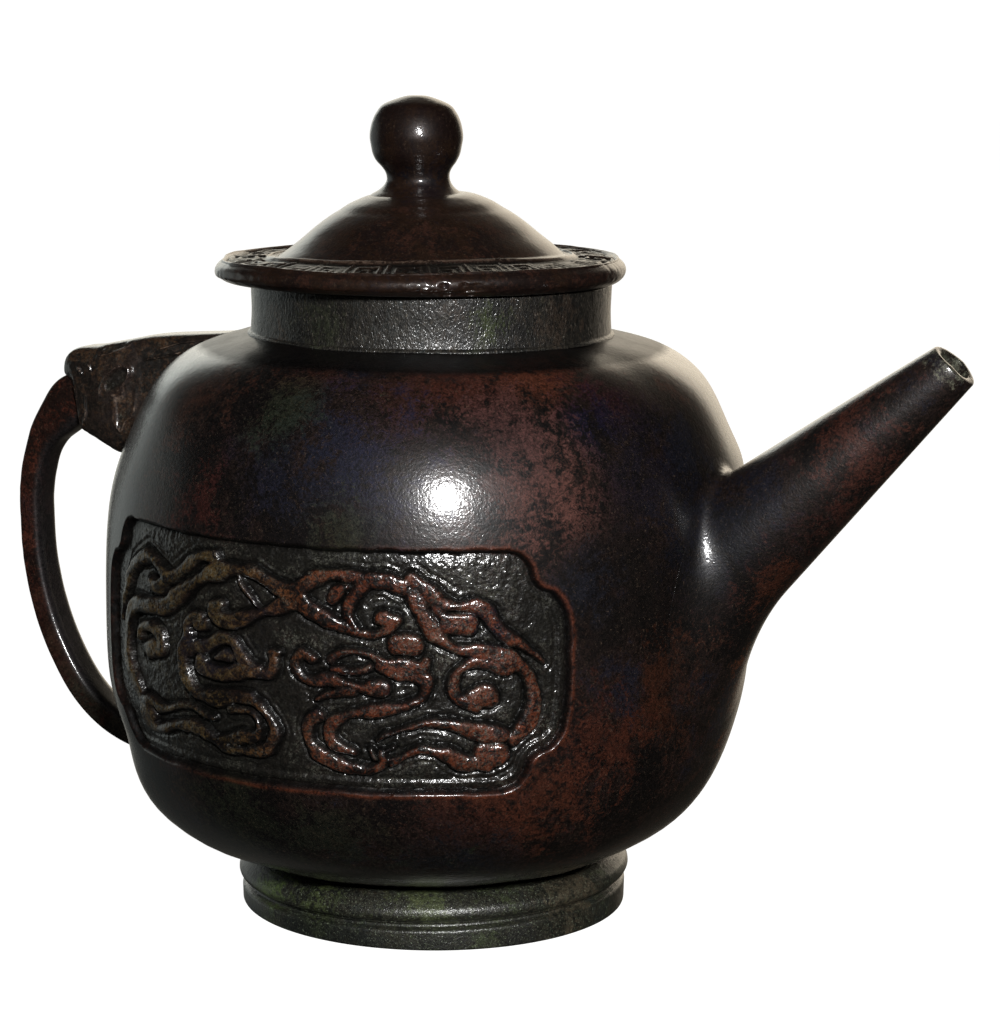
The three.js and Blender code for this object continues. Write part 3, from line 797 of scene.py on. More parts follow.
LEFT_BEAST = (
    line(1.0, (-15.2, 19.2), (-18.3, 18.6), (-21.3, 17.2), (-24, 15.3), (-26.7, 13.5), (-28.7, 13.6),
         (-30.3, 14.9), (-32.2, 16.1), (-34.4, 16.6), (-36.9, 16.2), (-39.8, 14.8), (-42.4, 12.4),
         (-44.4, 9.3), (-46.2, 6.1), (-47.0, 2.4), end=1.0),
    Stroke(((-28.6, 12.6, 0.9), (-31.0, 11.4, 1.3), (-33.4, 11.6, 1.2))),
    line(1.4, (-13.7, 16.8), (-17.5, 15.3), (-20.2, 13.8), (-22.9, 11.9), (-25.2, 10.2), (-27.7, 8.4),
         (-31, 7.3), (-34.8, 6.9), (-38.3, 6.6), (-41.2, 5.6), (-43.0, 3.6), (-44.0, 0.6), (-44.1, -3.6),
         (-43.0, -7.4), (-40.6, -10.2), (-38.4, -12.6), end=1.6),
    line(0.9, (-38.2, 0.2), (-37.4, 2.0), (-35.2, 3.0), (-32.9, 2.7), (-31.2, 1.4), (-30.8, -0.5), end=1.2),
    Stroke(((-31.4, -1.2, 1.4), (-33.6, -1.3, 1.8), (-35.4, -1.0, 1.0))),
    line(0.9, (-23.0, 3.4), (-22.6, 5.4), (-21.2, 6.9), (-19.0, 7.2), end=1.1),
    Stroke(((-19.6, 5.8, 1.5), (-18.0, 5.9, 1.4))),
    line(1.1, (-21.8, 0.6), (-19, 1.7), (-16.7, 2.5), (-14.4, 3.5), (-12.1, 3.9), (-10.2, 3.3), (-8.9, 1.6),
         (-7.2, -0.2), (-4.8, -0.9)),
    Stroke(((-15.0, 0.3, 0.6), (-12.8, 0.8, 1.1), (-10.6, 0.6, 0.6))),
    line(1.2, (-18.6, -2.2), (-16.3, -2.6), (-13.7, -2.7), (-10.6, -2.0), (-7.5, -1.5), (-4.4, -1.7),
         (-2.2, -1.4), (-1.4, 0.2), (-2.0, 2.3), end=1.1),
    Stroke(((-18.6, -1.7, 1.3),)),
    Stroke(((-2.6, 2.4, 0.7), (-1.2, 2.6, 0.8))),
    line(1.3, (-22.4, 3.6), (-23.4, 1.6), (-23.8, -1.0), (-23.5, -3.6), (-22.6, -5.8), (-20.4, -7.5),
         (-17.5, -8.0), (-14.4, -7.7), (-11.7, -7.1), (-9.2, -6.9), (-6.6, -7.2), (-4.2, -8.3), (-2.3, -10.2),
         (-1.7, -12.4), (-2.8, -14.7), (-4.9, -16.4), (-7.6, -17.2), end=1.0),
    line(0.8, (-11.0, -9.3), (-8.6, -9.2), (-6.4, -9.8), (-5.0, -11.4), (-5.2, -13.2), (-6.8, -14.4),
         (-8.6, -14.4), end=1.0),
    line(1.1, (-9.4, -15.1), (-12.0, -14.9), (-14.3, -15.5)),
    line(0.5, (-14.3, -15.5), (-12.8, -16.8)), line(0.5, (-12.0, -15.6), (-10.4, -16.6)),
    line(1.5, (-37.6, -12.2), (-34.6, -11.4), (-31.6, -12.4), (-29.0, -12.2), (-26.6, -11.1), (-24.0, -10.4),
         (-21.3, -10.4), (-18.3, -10.9), (-15.4, -11.8), end=0.5),
    line(1.4, (-38.6, -14.0), (-37.4, -16.2), (-34.6, -17.0), (-31.0, -16.5), (-27.2, -15.0), (-23.7, -14.2),
         (-20.2, -14.2), (-17.5, -15.2), (-14.8, -16.5), (-11.7, -17.5), (-8.0, -17.5), end=0.8),
    Stroke(((-37.4, -13.8, 1.9), (-35.6, -14.4, 1.8))),
)
BEASTS = RIGHT_BEAST + CROSSING + LEFT_BEAST


@dataclass(frozen=True)
class PanelOutline:
    """The sunken panel's outline: a long rectangle with each corner drawn in as a double lobe, in mm."""

    corner: tuple[Pair, ...] = ((42.0, 23.0), (44.4, 22.1), (46.2, 19.9), (47.1, 17.3), (48.5, 15.9),
                                (50.7, 15.0), (52.7, 12.5), (53.8, 9.2), (54.2, 5.5))

    def distance(self, across: np.ndarray, up: np.ndarray) -> np.ndarray:
        """Returns how far each place lies inside the outline, negative outside."""
        points = catmull(np.array(self.corner), 4)
        u, v = np.abs(across), np.abs(up)
        quarter = np.vstack([[0, self.corner[0][1]], points, [self.corner[-1][0], 0]])
        nearest = np.full(u.shape, np.inf)
        for start, end in zip(quarter[:-1], quarter[1:]):
            nearest = np.minimum(nearest, along_run(u, v, start, end)[1])
        limit = np.interp(u, quarter[:, 0], quarter[:, 1])
        inside = (u < self.corner[-1][0]) & (v < limit)
        return np.where(inside, nearest, -nearest)


def crown(away: np.ndarray, rim: float) -> np.ndarray:
    """Returns 0 outside a ridge and 1 on its flattened top, with sides rim millimetres wide."""
    inside = np.clip(-away / rim, 0, 1)
    return np.sqrt(np.clip(1 - (1 - inside) ** 2, 0, 1))


# The vessel

# Where the hand-made body swells or sinks: angle from the front panel's middle, height, reach in degrees,
# reach in height, and rise.
SWELLS = ((-60, 20, 30, 8, 1.3), (-60, 36, 30, 7, -1.2), (114, 108, 28, 7, 0.9), (114, 90, 14, 6, 1.1),
          (-68, 99, 34, 12, -1.9), (96, 53, 20, 11, 1.2), (0, 116, 400, 2.5, -0.5))


@dataclass
class Vessel:
    """The round body with its two panels, and what is soldered to it. Sizes are in millimetres."""

    radius: float = 64
    widest: float = 62
    shoulder: Point = (55.5, 4.4, 3.07)
    belly: Point = (53, 3.23, 3.09)
    wall: float = 2.6
    foot_seat: float = 11
    neck_seat: float = 116
    bore: float = 33
    base_hole: float = 28.5
    panel_radius: float = 63
    panel_middle: float = 60
    patch_angle: float = 51
    patch_low: float = 35
    patch_high: float = 85
    patch_back: float = 2.0
    ridge: float = 1.2
    ridge_side: float = 1.15
    fine: float = 0.25
    skin: Material = field(default_factory=SHELL_SKIN.build)
    panel_skin: Material = field(default_factory=PANEL_SKIN.build)

    def curve(self, z: np.ndarray, inset: float = 0) -> np.ndarray:
        """Draws the body's profile: two quarters of a squared oval that meet at its widest.

        Args:
            z: Heights.
            inset: How far the profile is moved inwards.

        Returns:
            The radius at each height.
        """
        z = np.asarray(z, dtype=float)
        result = np.zeros_like(z)
        for half, part in ((self.shoulder, z >= self.widest), (self.belly, z < self.widest)):
            reach, across, along = half
            share = np.clip(np.abs(z[part] - self.widest) / (reach - inset), 0, 1)
            result[part] = (self.radius - inset) * (1 - share ** along) ** (1 / across)
        return result

    def swell(self, angle: np.ndarray, z: np.ndarray) -> np.ndarray:
        """Returns how far the hand-made body stands out from its turned form at each angle and height."""
        total = 0.13 * wobble(self.radius * np.sin(angle), -self.radius * np.cos(angle), z, 26, 3)
        for middle_angle, height, reach, rise_over, rise in SWELLS:
            off = (np.degrees(angle) - middle_angle + 180) % 360 - 180
            total = total + rise * np.exp(-(off / reach) ** 2 - ((z - height) / rise_over) ** 2)
        return total

    def on_body(self, angle: np.ndarray, z: np.ndarray, inset: np.ndarray | float = 0) -> np.ndarray:
        """Finds places on the body.

        Args:
            angle: Angles from the front panel's middle, in radians.
            z: Heights.
            inset: How far the places lie below the skin.

        Returns:
            The points, in the frame.
        """
        r = self.curve(z)
        step = 0.05
        slope = (self.curve(z + step) - self.curve(z - step)) / (2 * step)
        size = np.sqrt(1 + slope ** 2)
        depth = inset - self.swell(angle, z)
        return around(POT_AXIS, r - depth / size, angle, z + depth * slope / size)

    def rows(self) -> np.ndarray:
        """Returns the heights of the body's rings, with the patches' edges among them."""
        low = np.linspace(self.foot_seat, self.patch_low, 16)
        high = self.patch_high + (self.neck_seat - self.patch_high) * np.linspace(0, 1, 34) ** 0.75
        return np.concatenate([low[:-1], np.linspace(self.patch_low, self.patch_high, 30), high[1:]])

    def build_shell(self) -> Thing:
        """Builds the hollow body, with a shallow bed for each panel."""
        angles = np.arange(240) * 1.5 * DEG
        outer_z = self.rows()
        spread, heights = np.meshgrid(angles, outer_z)
        off = (spread + 90 * DEG) % math.pi - 90 * DEG
        in_bed = (np.abs(off) < (self.patch_angle - 1) * DEG)
        in_bed &= (heights > self.patch_low + 0.5) & (heights < self.patch_high - 0.5)
        outer = self.on_body(spread, heights, np.where(in_bed, self.patch_back + 0.2, 0))
        inside_top, inside_floor = self.neck_seat - 2.3, self.foot_seat + self.wall
        inner_z = np.linspace(inside_top, inside_floor, 50)
        inner_r = self.curve(inner_z, self.wall)
        inner_r = np.concatenate([[self.bore], inner_r, [self.base_hole, self.base_hole]])
        inner_z = np.concatenate([[self.neck_seat], inner_z, [inside_floor, self.foot_seat]])
        spread, heights = np.meshgrid(angles, inner_z)
        inner = around(POT_AXIS, inner_r[:, None], spread, heights)
        obj = skin("body_shell_fine", np.concatenate([outer, inner]), ring=True, loop=True)
        finish_mesh(obj)
        return obj

    def relief(self, across: np.ndarray, up: np.ndarray) -> dict[str, np.ndarray]:
        """Carves the panel: a moulded border, a sunken ground and the beasts' uneven ridges.

        Args:
            across, up: Places from the panel's middle.

        Returns:
            The depth below the body's skin and the shares that the finish uses, by name.
        """
        def bumps(size: float, seed: int) -> np.ndarray:
            """Returns bumps of a size between -0.5 and 0.5."""
            return speckle(across, up, size, seed) - 0.5

        def hill(value: np.ndarray, place_at: float, reach: float) -> np.ndarray:
            """Returns 1 where value is at place_at, falling away over reach."""
            return np.exp(-((value - place_at) / reach) ** 2)

        slip_u = 0.7 * bumps(3.1, 31) + 0.35 * bumps(1.2, 32)
        slip_v = 0.7 * bumps(3.3, 33) + 0.35 * bumps(1.3, 34)
        edge = PanelOutline().distance(across + 0.5 * slip_u, up + 0.5 * slip_v)
        away = ridge_distance(across + slip_u, up + slip_v, BEASTS) - 1.1 * bumps(4.6, 35) - 0.22
        inside = smoothstep(1.2, 2.6, edge)
        rise = crown(away, self.ridge_side) * inside
        # The border is doubled by a strip at the lower right, and plain at the upper left.
        reach = (0, 0.3, 0.75, 1.2, 2.2, 2.6, 3.1, 3.7)
        strip = smoothstep(-0.3, 0.6, across / 54 - up / 23)
        floor = (strip * np.interp(edge, reach, (0, 0.55, 1.55, 1.15, 1.05, 1.5, 1.5, 1.35))
                 + (1 - strip) * np.interp(edge, reach, (0, 0.6, 1.6, 1.5, 1.4, 1.35, 1.35, 1.35)))
        second = smoothstep(0.45, 0.7, speckle(across, up, 9, 36))
        groove = 0.38 * hill(away, 0.3, 0.32) + 0.34 * second * hill(away, 1.5, 0.32)
        grain = 0.16 * bumps(1.1, 5) + 0.12 * bumps(0.5, 6)
        worn_top = 0.28 * bumps(2.4, 8) + 0.5 * bumps(6, 9) + 0.05 * bumps(0.9, 10)
        depth = floor + smoothstep(1.5, 3.5, edge) * groove * (away > 0) - self.ridge * rise
        depth += (grain * (1 - 0.75 * rise) + worn_top * rise) * smoothstep(0, 1.5, edge)
        # Painted shade along the recess wall and round the feet of the ridges.
        shade = np.maximum(hill(edge, 0.5, 0.38), 0.95 * hill(away, 0.15, 0.42) * inside)
        return {"depth": depth, "rise": rise, "sunk": smoothstep(0.2, 1.4, edge), "shade": shade,
                "rubbed": hill(edge, -0.3, 0.38) * smoothstep(-15, 25, across - up)}

    def build_panel(self, name: str, turn: float) -> Thing:
        """Builds one relief panel as a closed plate set in its bed.

        Args:
            name: The piece's name.
            turn: Angle of the panel's middle from the front, in radians.

        Returns:
            The panel.
        """
        cols = int(2 * self.patch_angle * DEG * self.panel_radius / self.fine)
        lines = int((self.patch_high - self.patch_low) / self.fine)
        angle, z = np.meshgrid(np.linspace(-1, 1, cols) * self.patch_angle * DEG,
                               np.linspace(self.patch_low, self.patch_high, lines))
        shares = self.relief(angle * self.panel_radius, z - self.panel_middle)
        front = self.on_body(angle + turn, z, shares.pop("depth"))
        back = self.on_body(angle + turn, z, self.patch_back)
        count = lines * cols
        both = np.concatenate([front.reshape(-1, 3), back.reshape(-1, 3)])
        index = np.arange(count).reshape(lines, cols)
        quads = np.stack([index[:-1, :-1], index[:-1, 1:], index[1:, 1:], index[1:, :-1]], -1).reshape(-1, 4)
        rim = np.concatenate([index[0, :], index[1:, -1], index[-1, -2::-1], index[-2:0:-1, 0]])
        after = np.roll(rim, -1)
        sides = np.stack([rim, rim + count, after + count, after], -1)
        faces = quads.tolist() + sides.tolist() + [tuple(rim[::-1] + count)]
        used = sorted(set(range(count)) | set((rim + count).tolist()))
        lookup = {old: new for new, old in enumerate(used)}
        obj = new_object(name, (both[used] * MM).tolist(), (), [tuple(lookup[i] for i in f) for f in faces])
        # Left of about a quarter of the way across, the ridges are olive; right of the middle, red.
        shares["side"] = np.clip(angle / (self.patch_angle * DEG) * 2.4 + 0.55, 0, 1)
        for key, values in shares.items():
            put_attribute(obj, key, np.concatenate([values.ravel(), np.zeros(len(used) - count)]))
        finish_mesh(obj, 60)
        return obj

    def build(self) -> None:
        """Builds and places the body and its panels."""
        place(self.build_shell(), Body.VESSEL, Slot.BODY, self.skin, "body_shell")
        for name, turn in (("relief_panel_front", 0.0), ("relief_panel_back", math.pi)):
            place(self.build_panel(name, turn), Body.VESSEL, Slot.BODY, self.panel_skin)


@dataclass
class Ring:
    """The foot ring, the base plate and the neck, all turned. Sizes are in millimetres."""

    green: Material = field(default_factory=GREEN_SKIN.build)
    neck: Material = field(default_factory=NECK_SKIN.build)
    inner: Material = field(default_factory=INNER_SKIN.build)

    def build_foot(self) -> Thing:
        """Builds the foot ring: a plain band, a groove, a round moulding and a cove."""
        corners = ((33.9, 0, 0.6), (38.9, 0, 0.5), (39.0, 3.9, 0.5), (37.7, 4.5, 0.3), (37.6, 5.1, 0.2),
                   (38.3, 5.3, 0.2), (38.3, 5.7, 0.2), (39.3, 6.1, 0.3), (39.7, 6.9, 0.8), (39.5, 8.2, 1.2),
                   (38.2, 9.6, 1.2), (36.3, 11, 0.3), (26, 11, 0.2), (26, 8, 0.4), (33.9, 6.5, 1.0))
        obj = turned("foot_ring_fine", rounded(corners), middle("foot_ring"), 240)
        # The mouldings lean: they stand higher on the right, between the flat foot and the body.
        lean, top = 0.7 / 39, 10
        for vertex in obj.data.vertices:
            right = (vertex.co / MM - POT_AXIS).dot(VIEW_RIGHT)
            height = vertex.co.z / MM
            if height < top:
                vertex.co.z += lean * right * min(1, height / 3) * min(1, (top - height) / 1.5) * MM
        return obj

    def build_plate(self) -> Thing:
        """Builds the base plate."""
        low, high = height_of("base_plate")
        corners = ((0, low, 0), (28.2, low, 0.3), (28.2, high, 0.3), (0, high, 0))
        return turned("base_plate_fine", rounded(corners), middle("base_plate"), 128)

    def build_neck(self) -> Thing:
        """Builds the neck with the small bead at its foot."""
        low, high = height_of("neck_collar")
        corners = ((33, low, 0.1), (33.4, low - 0.7, 0.1), (36.5, low - 0.7, 0.15), (36.3, low - 0.2, 0.3),
                   (35.8, low + 0.1, 0.4), (35.55, low + 4, 2), (35.8, high, 0.35), (33, high, 0.35))
        return turned("neck_collar_fine", rounded(corners), middle("neck_collar"), 240)

    def build(self) -> None:
        """Builds and places the rings."""
        place(self.build_foot(), Body.VESSEL, Slot.GREEN, self.green, "foot_ring")
        place(self.build_neck(), Body.VESSEL, Slot.GREEN, self.neck, "neck_collar")
        place(self.build_plate(), Body.VESSEL, Slot.INNER, self.inner, "base_plate")


@dataclass
class Spout:
    """The straight spout with the long fillet at its root. Sizes are in millimetres."""

    vessel: Vessel
    tip: Pair = (107.5, 114.9)
    pitch: float = 41.7
    tip_radius: float = 4.9
    taper: float = 0.147
    wall: float = 1.8
    tilt: float = 10
    hub: float = 74
    columns: int = 160
    skin: Material = field(default_factory=SPOUT_SKIN.build)

    def cone(self, back: np.ndarray, turn: np.ndarray, inset: float = 0) -> np.ndarray:
        """Finds places on the cone, which is flattened a little along its top.

        Args:
            back: Distances back from the tip.
            turn: Angles about the cone's axis from its top, in radians.
            inset: How far the places lie below its outside.

        Returns:
            The points, in the frame.
        """
        along = np.array([math.cos(self.pitch * DEG), 0, math.sin(self.pitch * DEG)])
        over = np.array([-along[2], 0, along[0]])
        over_top = ((1 + np.cos(turn)) / 2) ** 2
        radius = self.tip_radius + self.taper * back - 0.7 * over_top * (back / 60) ** 2 - inset
        centre = np.array([POT_AXIS.x + self.tip[0], POT_AXIS.y, self.tip[1]])
        side = np.array([0, 1, 0])
        return (centre - back[..., None] * along + radius[..., None]
                * (np.cos(turn)[..., None] * over + np.sin(turn)[..., None] * side))

    def root(self, turn: float) -> float:
        """Returns how far back along the cone its generator at turn meets the body."""
        back = np.linspace(30, 90, 1201)
        points = self.cone(back, np.full_like(back, turn))
        x, y = points[:, 0] - POT_AXIS.x, points[:, 1] - POT_AXIS.y
        body = self.vessel.curve(points[:, 2]) + self.vessel.swell(np.arctan2(x, -y), points[:, 2])
        return float(back[np.argmax(np.hypot(x, y) < body)])

    def mouth(self, turn: np.ndarray | float) -> np.ndarray:
        """Returns how far back the mouth's slanting cut lies at each turn."""
        return np.maximum(0, self.tip_radius * np.cos(turn) * math.tan(self.tilt * DEG))

    def generator(self, turn: float) -> np.ndarray:
        """Draws one line of the spout's outside, from its mouth along the cone and out over the body.

        Args:
            turn: Its angle about the cone's axis from the top, in radians.

        Returns:
            The line's points, the last of them just under the body's skin.
        """
        low = (1 - math.cos(turn)) / 2
        meet = self.root(turn)
        # The fillet is short on top and long underneath.
        up_cone, out_body = 4 + low + 12 * low ** 2, 4 - 10 * low + 28 * low ** 2
        mouth = float(self.mouth(turn))
        backs = mouth + (meet - up_cone - mouth) * np.linspace(0, 1, 44)
        straight = self.cone(backs, np.full_like(backs, turn))
        start = straight[-1]
        corner = self.cone(np.array([meet]), np.array([turn]))[0]
        angle = math.atan2(corner[0] - POT_AXIS.x, POT_AXIS.y - corner[1])
        way = np.array([(angle - math.pi / 2) * self.vessel.radius, corner[2] - self.hub])
        way /= np.linalg.norm(way)

        def outwards(over: np.ndarray, inset: float) -> np.ndarray:
            """Returns points on the body, over millimetres out from where the cone meets it."""
            return self.vessel.on_body(angle + way[0] * over / self.vessel.radius, corner[2] + way[1] * over,
                                       inset)

        t = np.linspace(0, 1, 40)[1:]
        share = smoothstep(0, 1, t)[:, None]
        bend = (1 - share) * (start + (corner - start) * t[:, None]) + share * outwards(t * out_body, -0.02)
        return np.vstack([straight, bend, outwards(np.array([out_body + 0.05]), 0.4)])

    def build(self) -> None:
        """Builds and places the spout."""
        turns = np.arange(self.columns) * 2 * math.pi / self.columns
        outer = np.stack([self.generator(turn) for turn in turns], 1)
        mouth = self.mouth(turns)
        lip = [self.cone(mouth - rise, turns, inset)
               for rise, inset in ((0.22, 0.12), (0.33, 0.45), (0.33, 1.2), (0.18, 1.65))]
        spread, backs = np.meshgrid(turns, np.linspace(0.4, 64, 30))
        bore = self.cone(np.maximum(backs, mouth + 0.3), spread, self.wall)
        obj = skin("spout_fine", np.concatenate([outer[::-1], np.stack(lip), bore]), ring=True, loop=True)
        finish_mesh(obj, 60)
        place(obj, Body.VESSEL, Slot.HANDLED, self.skin, "spout")


# The head's side as slices from mane to nose: top x and z, bottom x and z, half-width, from the pot's axis.
HEAD_SLICES = (
    (-36, 114.6, -36, 112.0, 1.5), (-44, 113.4, -43, 108.0, 4.5), (-51.4, 112.8, -51.5, 100, 6.2),
    (-58.4, 112.2, -59.5, 93.0, 7.2), (-63.2, 111.5, -64.4, 89.2, 8.0), (-67.6, 110.5, -67.0, 87.2, 8.1),
    (-71.2, 109.8, -70.0, 88.3, 7.7), (-73.6, 109.2, -72.6, 89.4, 7.2), (-75.9, 108.9, -75.2, 90.6, 6.8),
    (-78.2, 108.6, -76.6, 91.6, 6.4), (-80.0, 107.8, -76.2, 95.0, 6.0), (-81.3, 106.4, -76.6, 98.4, 5.4),
    (-81.9, 104.6, -78.6, 100.6, 4.6), (-82.0, 103.2, -80.4, 101.8, 3.6),
)
# Ridges on both sides of the head, as x and z from the pot's axis.
HEAD_RIDGES = (
    line(0.28, (-69.3, 103.4), (-67, 105.3), (-64.5, 105.7), (-63.8, 104.3), (-65.4, 101.4), (-67.9, 99.5),
         (-70.7, 99.8), (-70.3, 101.6), (-69.3, 103.4)),
    line(0.2, (-64.2, 106.6), (-62.9, 104.8), (-64.1, 101.9), (-65.8, 99.8)),
    line(0.25, (-71.8, 107.5), (-69.6, 107.9), (-67.8, 108.4), (-65.6, 109.3), (-64, 110.2)),
    line(0.35, (-68, 97.3), (-66.8, 99), (-63.9, 99.8), (-62.5, 98.8), (-62.8, 96), (-64.6, 94.3),
         (-65.6, 92.3), (-67.3, 94.4), (-68, 97.3)),
    line(0.3, (-78.6, 101.0), (-76.6, 99.2), (-75, 97.7), (-74.6, 95.7), (-75.1, 93.7), (-76, 92)),
    line(0.25, (-57, 109.7), (-52.8, 111.0), (-47.3, 111.9)), line(0.2, (-55.5, 109.9), (-52.8, 108.9)),
    line(0.25, (-60, 107.4), (-55, 108.4), (-49.5, 110.2)),
    Stroke(((-76.5, 104.6, 0.5), (-75.6, 103.6, 0.4))), Stroke(((-73.8, 105.4, 0.4), (-73.4, 104.4, 0.3))),
)
# The eye's socket, the ear and the brow, sunken in the same way.
HEAD_HOLLOWS = (
    Stroke(((-68.4, 101.6, 1.2), (-66.2, 103.4, 1.6), (-65.2, 104.4, 0.9))),
    Stroke(((-65.9, 95.4, 0.9), (-65.1, 97.4, 1.4), (-64.4, 98.2, 0.8))),
    Stroke(((-70.6, 108.6, 0.4), (-68.6, 109.4, 0.9), (-66.4, 110.2, 0.9))),
)
EYE_BALL = (Stroke(((-68.0, 101.9, 0.5), (-66.5, 103.2, 0.5))),)
# The strap's middle line from the mouth down, with its thickness: it swells to fill the mouth.
STRAP = (
    (-77.2, 98.8, 10.4), (-80.7, 97.0, 10.4), (-84.0, 93.6, 8.8), (-86.9, 90.2, 6.9), (-88.9, 86.2, 5.5),
    (-90.1, 81.9, 5.2), (-90.75, 77.3, 4.9), (-90.8, 73, 4.8), (-90.2, 63, 4.8), (-88.0, 53, 4.9),
    (-84.1, 43.5, 5.0), (-78.8, 35.3, 5.2), (-72, 29.6, 5.4), (-64, 26.6, 5.6), (-56, 25.8, 5.8),
)


def squared(wave: np.ndarray, power: np.ndarray | float) -> np.ndarray:
    """Returns a wave bent towards a square one, which turns a round section into a flat-sided one."""
    return np.sign(wave) * np.abs(wave) ** power


@dataclass
class Handle:
    """The strap handle and the beast head that bites it. Sizes are in millimetres."""

    width: float = 8
    strap_columns: int = 64
    head_columns: int = 220
    strap_skin: Material = field(default_factory=HANDLED_SKIN.build)
    head_skin: Material = field(default_factory=HEAD_SKIN.build)

    def build_strap(self) -> Thing:
        """Builds the strap: a flat bar with worn edges that swells towards the mouth."""
        path = catmull(np.array(STRAP, dtype=float), 14)
        way = np.gradient(path[:, :2], axis=0)
        way /= np.linalg.norm(way, axis=1)[:, None]
        turn = np.arange(self.strap_columns) * 2 * math.pi / self.strap_columns
        inside = np.cos(turn) < 0
        square_a = squared(np.cos(turn), np.where(inside, 0.62, 0.32))
        square_b = squared(np.sin(turn), np.where(inside, 0.5, 0.26))
        rows = []
        for (x, z, thickness), (tx, tz) in zip(path, way):
            out = square_a * thickness / 2
            across = square_b * (self.width / 2 + 0.06 * max(0, thickness - 4))
            out = out + 0.2 * (speckle(0 * out + z + x, across, 1.6, 41) - 0.5) * np.abs(square_b) ** 8
            rows.append(np.stack([POT_AXIS.x + x + out * tz, POT_AXIS.y + across, z - out * tx], -1))
        obj = skin("handle_bow_fine", np.array(rows), ring=True, loop=False, caps=True)
        # The inner face, turned towards the body, is marked for painted shade.
        put_attribute(obj, "inner", np.tile(smoothstep(-0.1, -0.75, np.cos(turn)), len(rows)))
        finish_mesh(obj, 60)
        return obj

    def build_head(self) -> Thing:
        """Builds the beast head: lofted slices from mane to nose, with ridges raised on both sides."""
        slices = catmull(np.array(HEAD_SLICES, dtype=float), 16)
        turn = np.arange(self.head_columns) * 2 * math.pi / self.head_columns
        up = squared(np.cos(turn), np.where(np.cos(turn) > 0, 0.72, 0.28))
        out = squared(np.sin(turn), 0.42)
        top, low, half = slices[:, None, 0:2], slices[:, None, 2:4], slices[:, 4][:, None]
        centre = (top + low) / 2 + (top - low) / 2 * up[None, :, None]
        x, z, y = centre[..., 0], centre[..., 1], half * out[None, :]
        flank = smoothstep(0.35, 0.9, np.abs(out))[None, :]
        rise = crown(ridge_distance(x, z, HEAD_RIDGES) + 0.02, 0.35)
        hollow = crown(ridge_distance(x, z, HEAD_HOLLOWS), 0.9)
        ball = crown(ridge_distance(x, z, EYE_BALL), 0.8)
        worn = 0.25 * (speckle(x, z, 2.1, 12) - 0.5) + 0.16 * (speckle(x, z, 0.8, 13) - 0.5)
        lift = flank * (0.38 * rise - 0.55 * hollow + 0.35 * ball) + worn
        y = y + np.sign(y) * lift
        grid = np.stack([POT_AXIS.x + x, POT_AXIS.y + y, z], -1)
        obj = skin("handle_beast_head_fine", grid, ring=True, loop=False, caps=True)
        put_attribute(obj, "rise", rise * flank)
        put_attribute(obj, "sunk", flank * (0.35 + 0.65 * hollow) * (1 - rise))
        finish_mesh(obj, 60)
        return obj

    def build(self) -> None:
        """Builds and places the handle."""
        place(self.build_strap(), Body.VESSEL, Slot.HANDLED, self.strap_skin, "handle_bow")
        place(self.build_head(), Body.VESSEL, Slot.HEAD, self.head_skin, "handle_beast_head")


# One repeat of the squared key fret on the lid's brim: along it, and out from its inside edge, in mm.
FRET = (replace(line(0.42, (0.7, 0.2), (0.7, 6.4), (7.1, 6.4), (7.1, 1.5), (2.5, 1.5), (2.5, 4.8), (5.3, 4.8),
                     (5.3, 3.1), (4.0, 3.1)), smooth=False),)
# The dome from the brim's inner border to the finial's seat, as radius and height from the dome's top.
DOME = ((29.6, -12.55), (28.4, -12.4), (27.4, -11.7), (23.7, -8.8), (20.7, -6.3), (18.1, -4.4), (16.3, -3.3),
        (13.3, -1.5), (8.6, 0), (0.01, 0))
# The ball finial and its stem from the seat up, as radius and height.
FINIAL = ((11.4, -1.7), (10.1, -0.9), (8.9, -0.15), (7.8, 0.5), (6.9, 1.3), (6.35, 2.2), (6.2, 3.1),
          (6.4, 4.1), (7.0, 5.1), (7.9, 6.2), (8.6, 7.6), (8.95, 9.2), (9.2, 10.9), (9.05, 12.5), (8.6, 14.2),
          (7.8, 15.8), (6.3, 17.4), (2.4, 18.85), (0, 19.0))


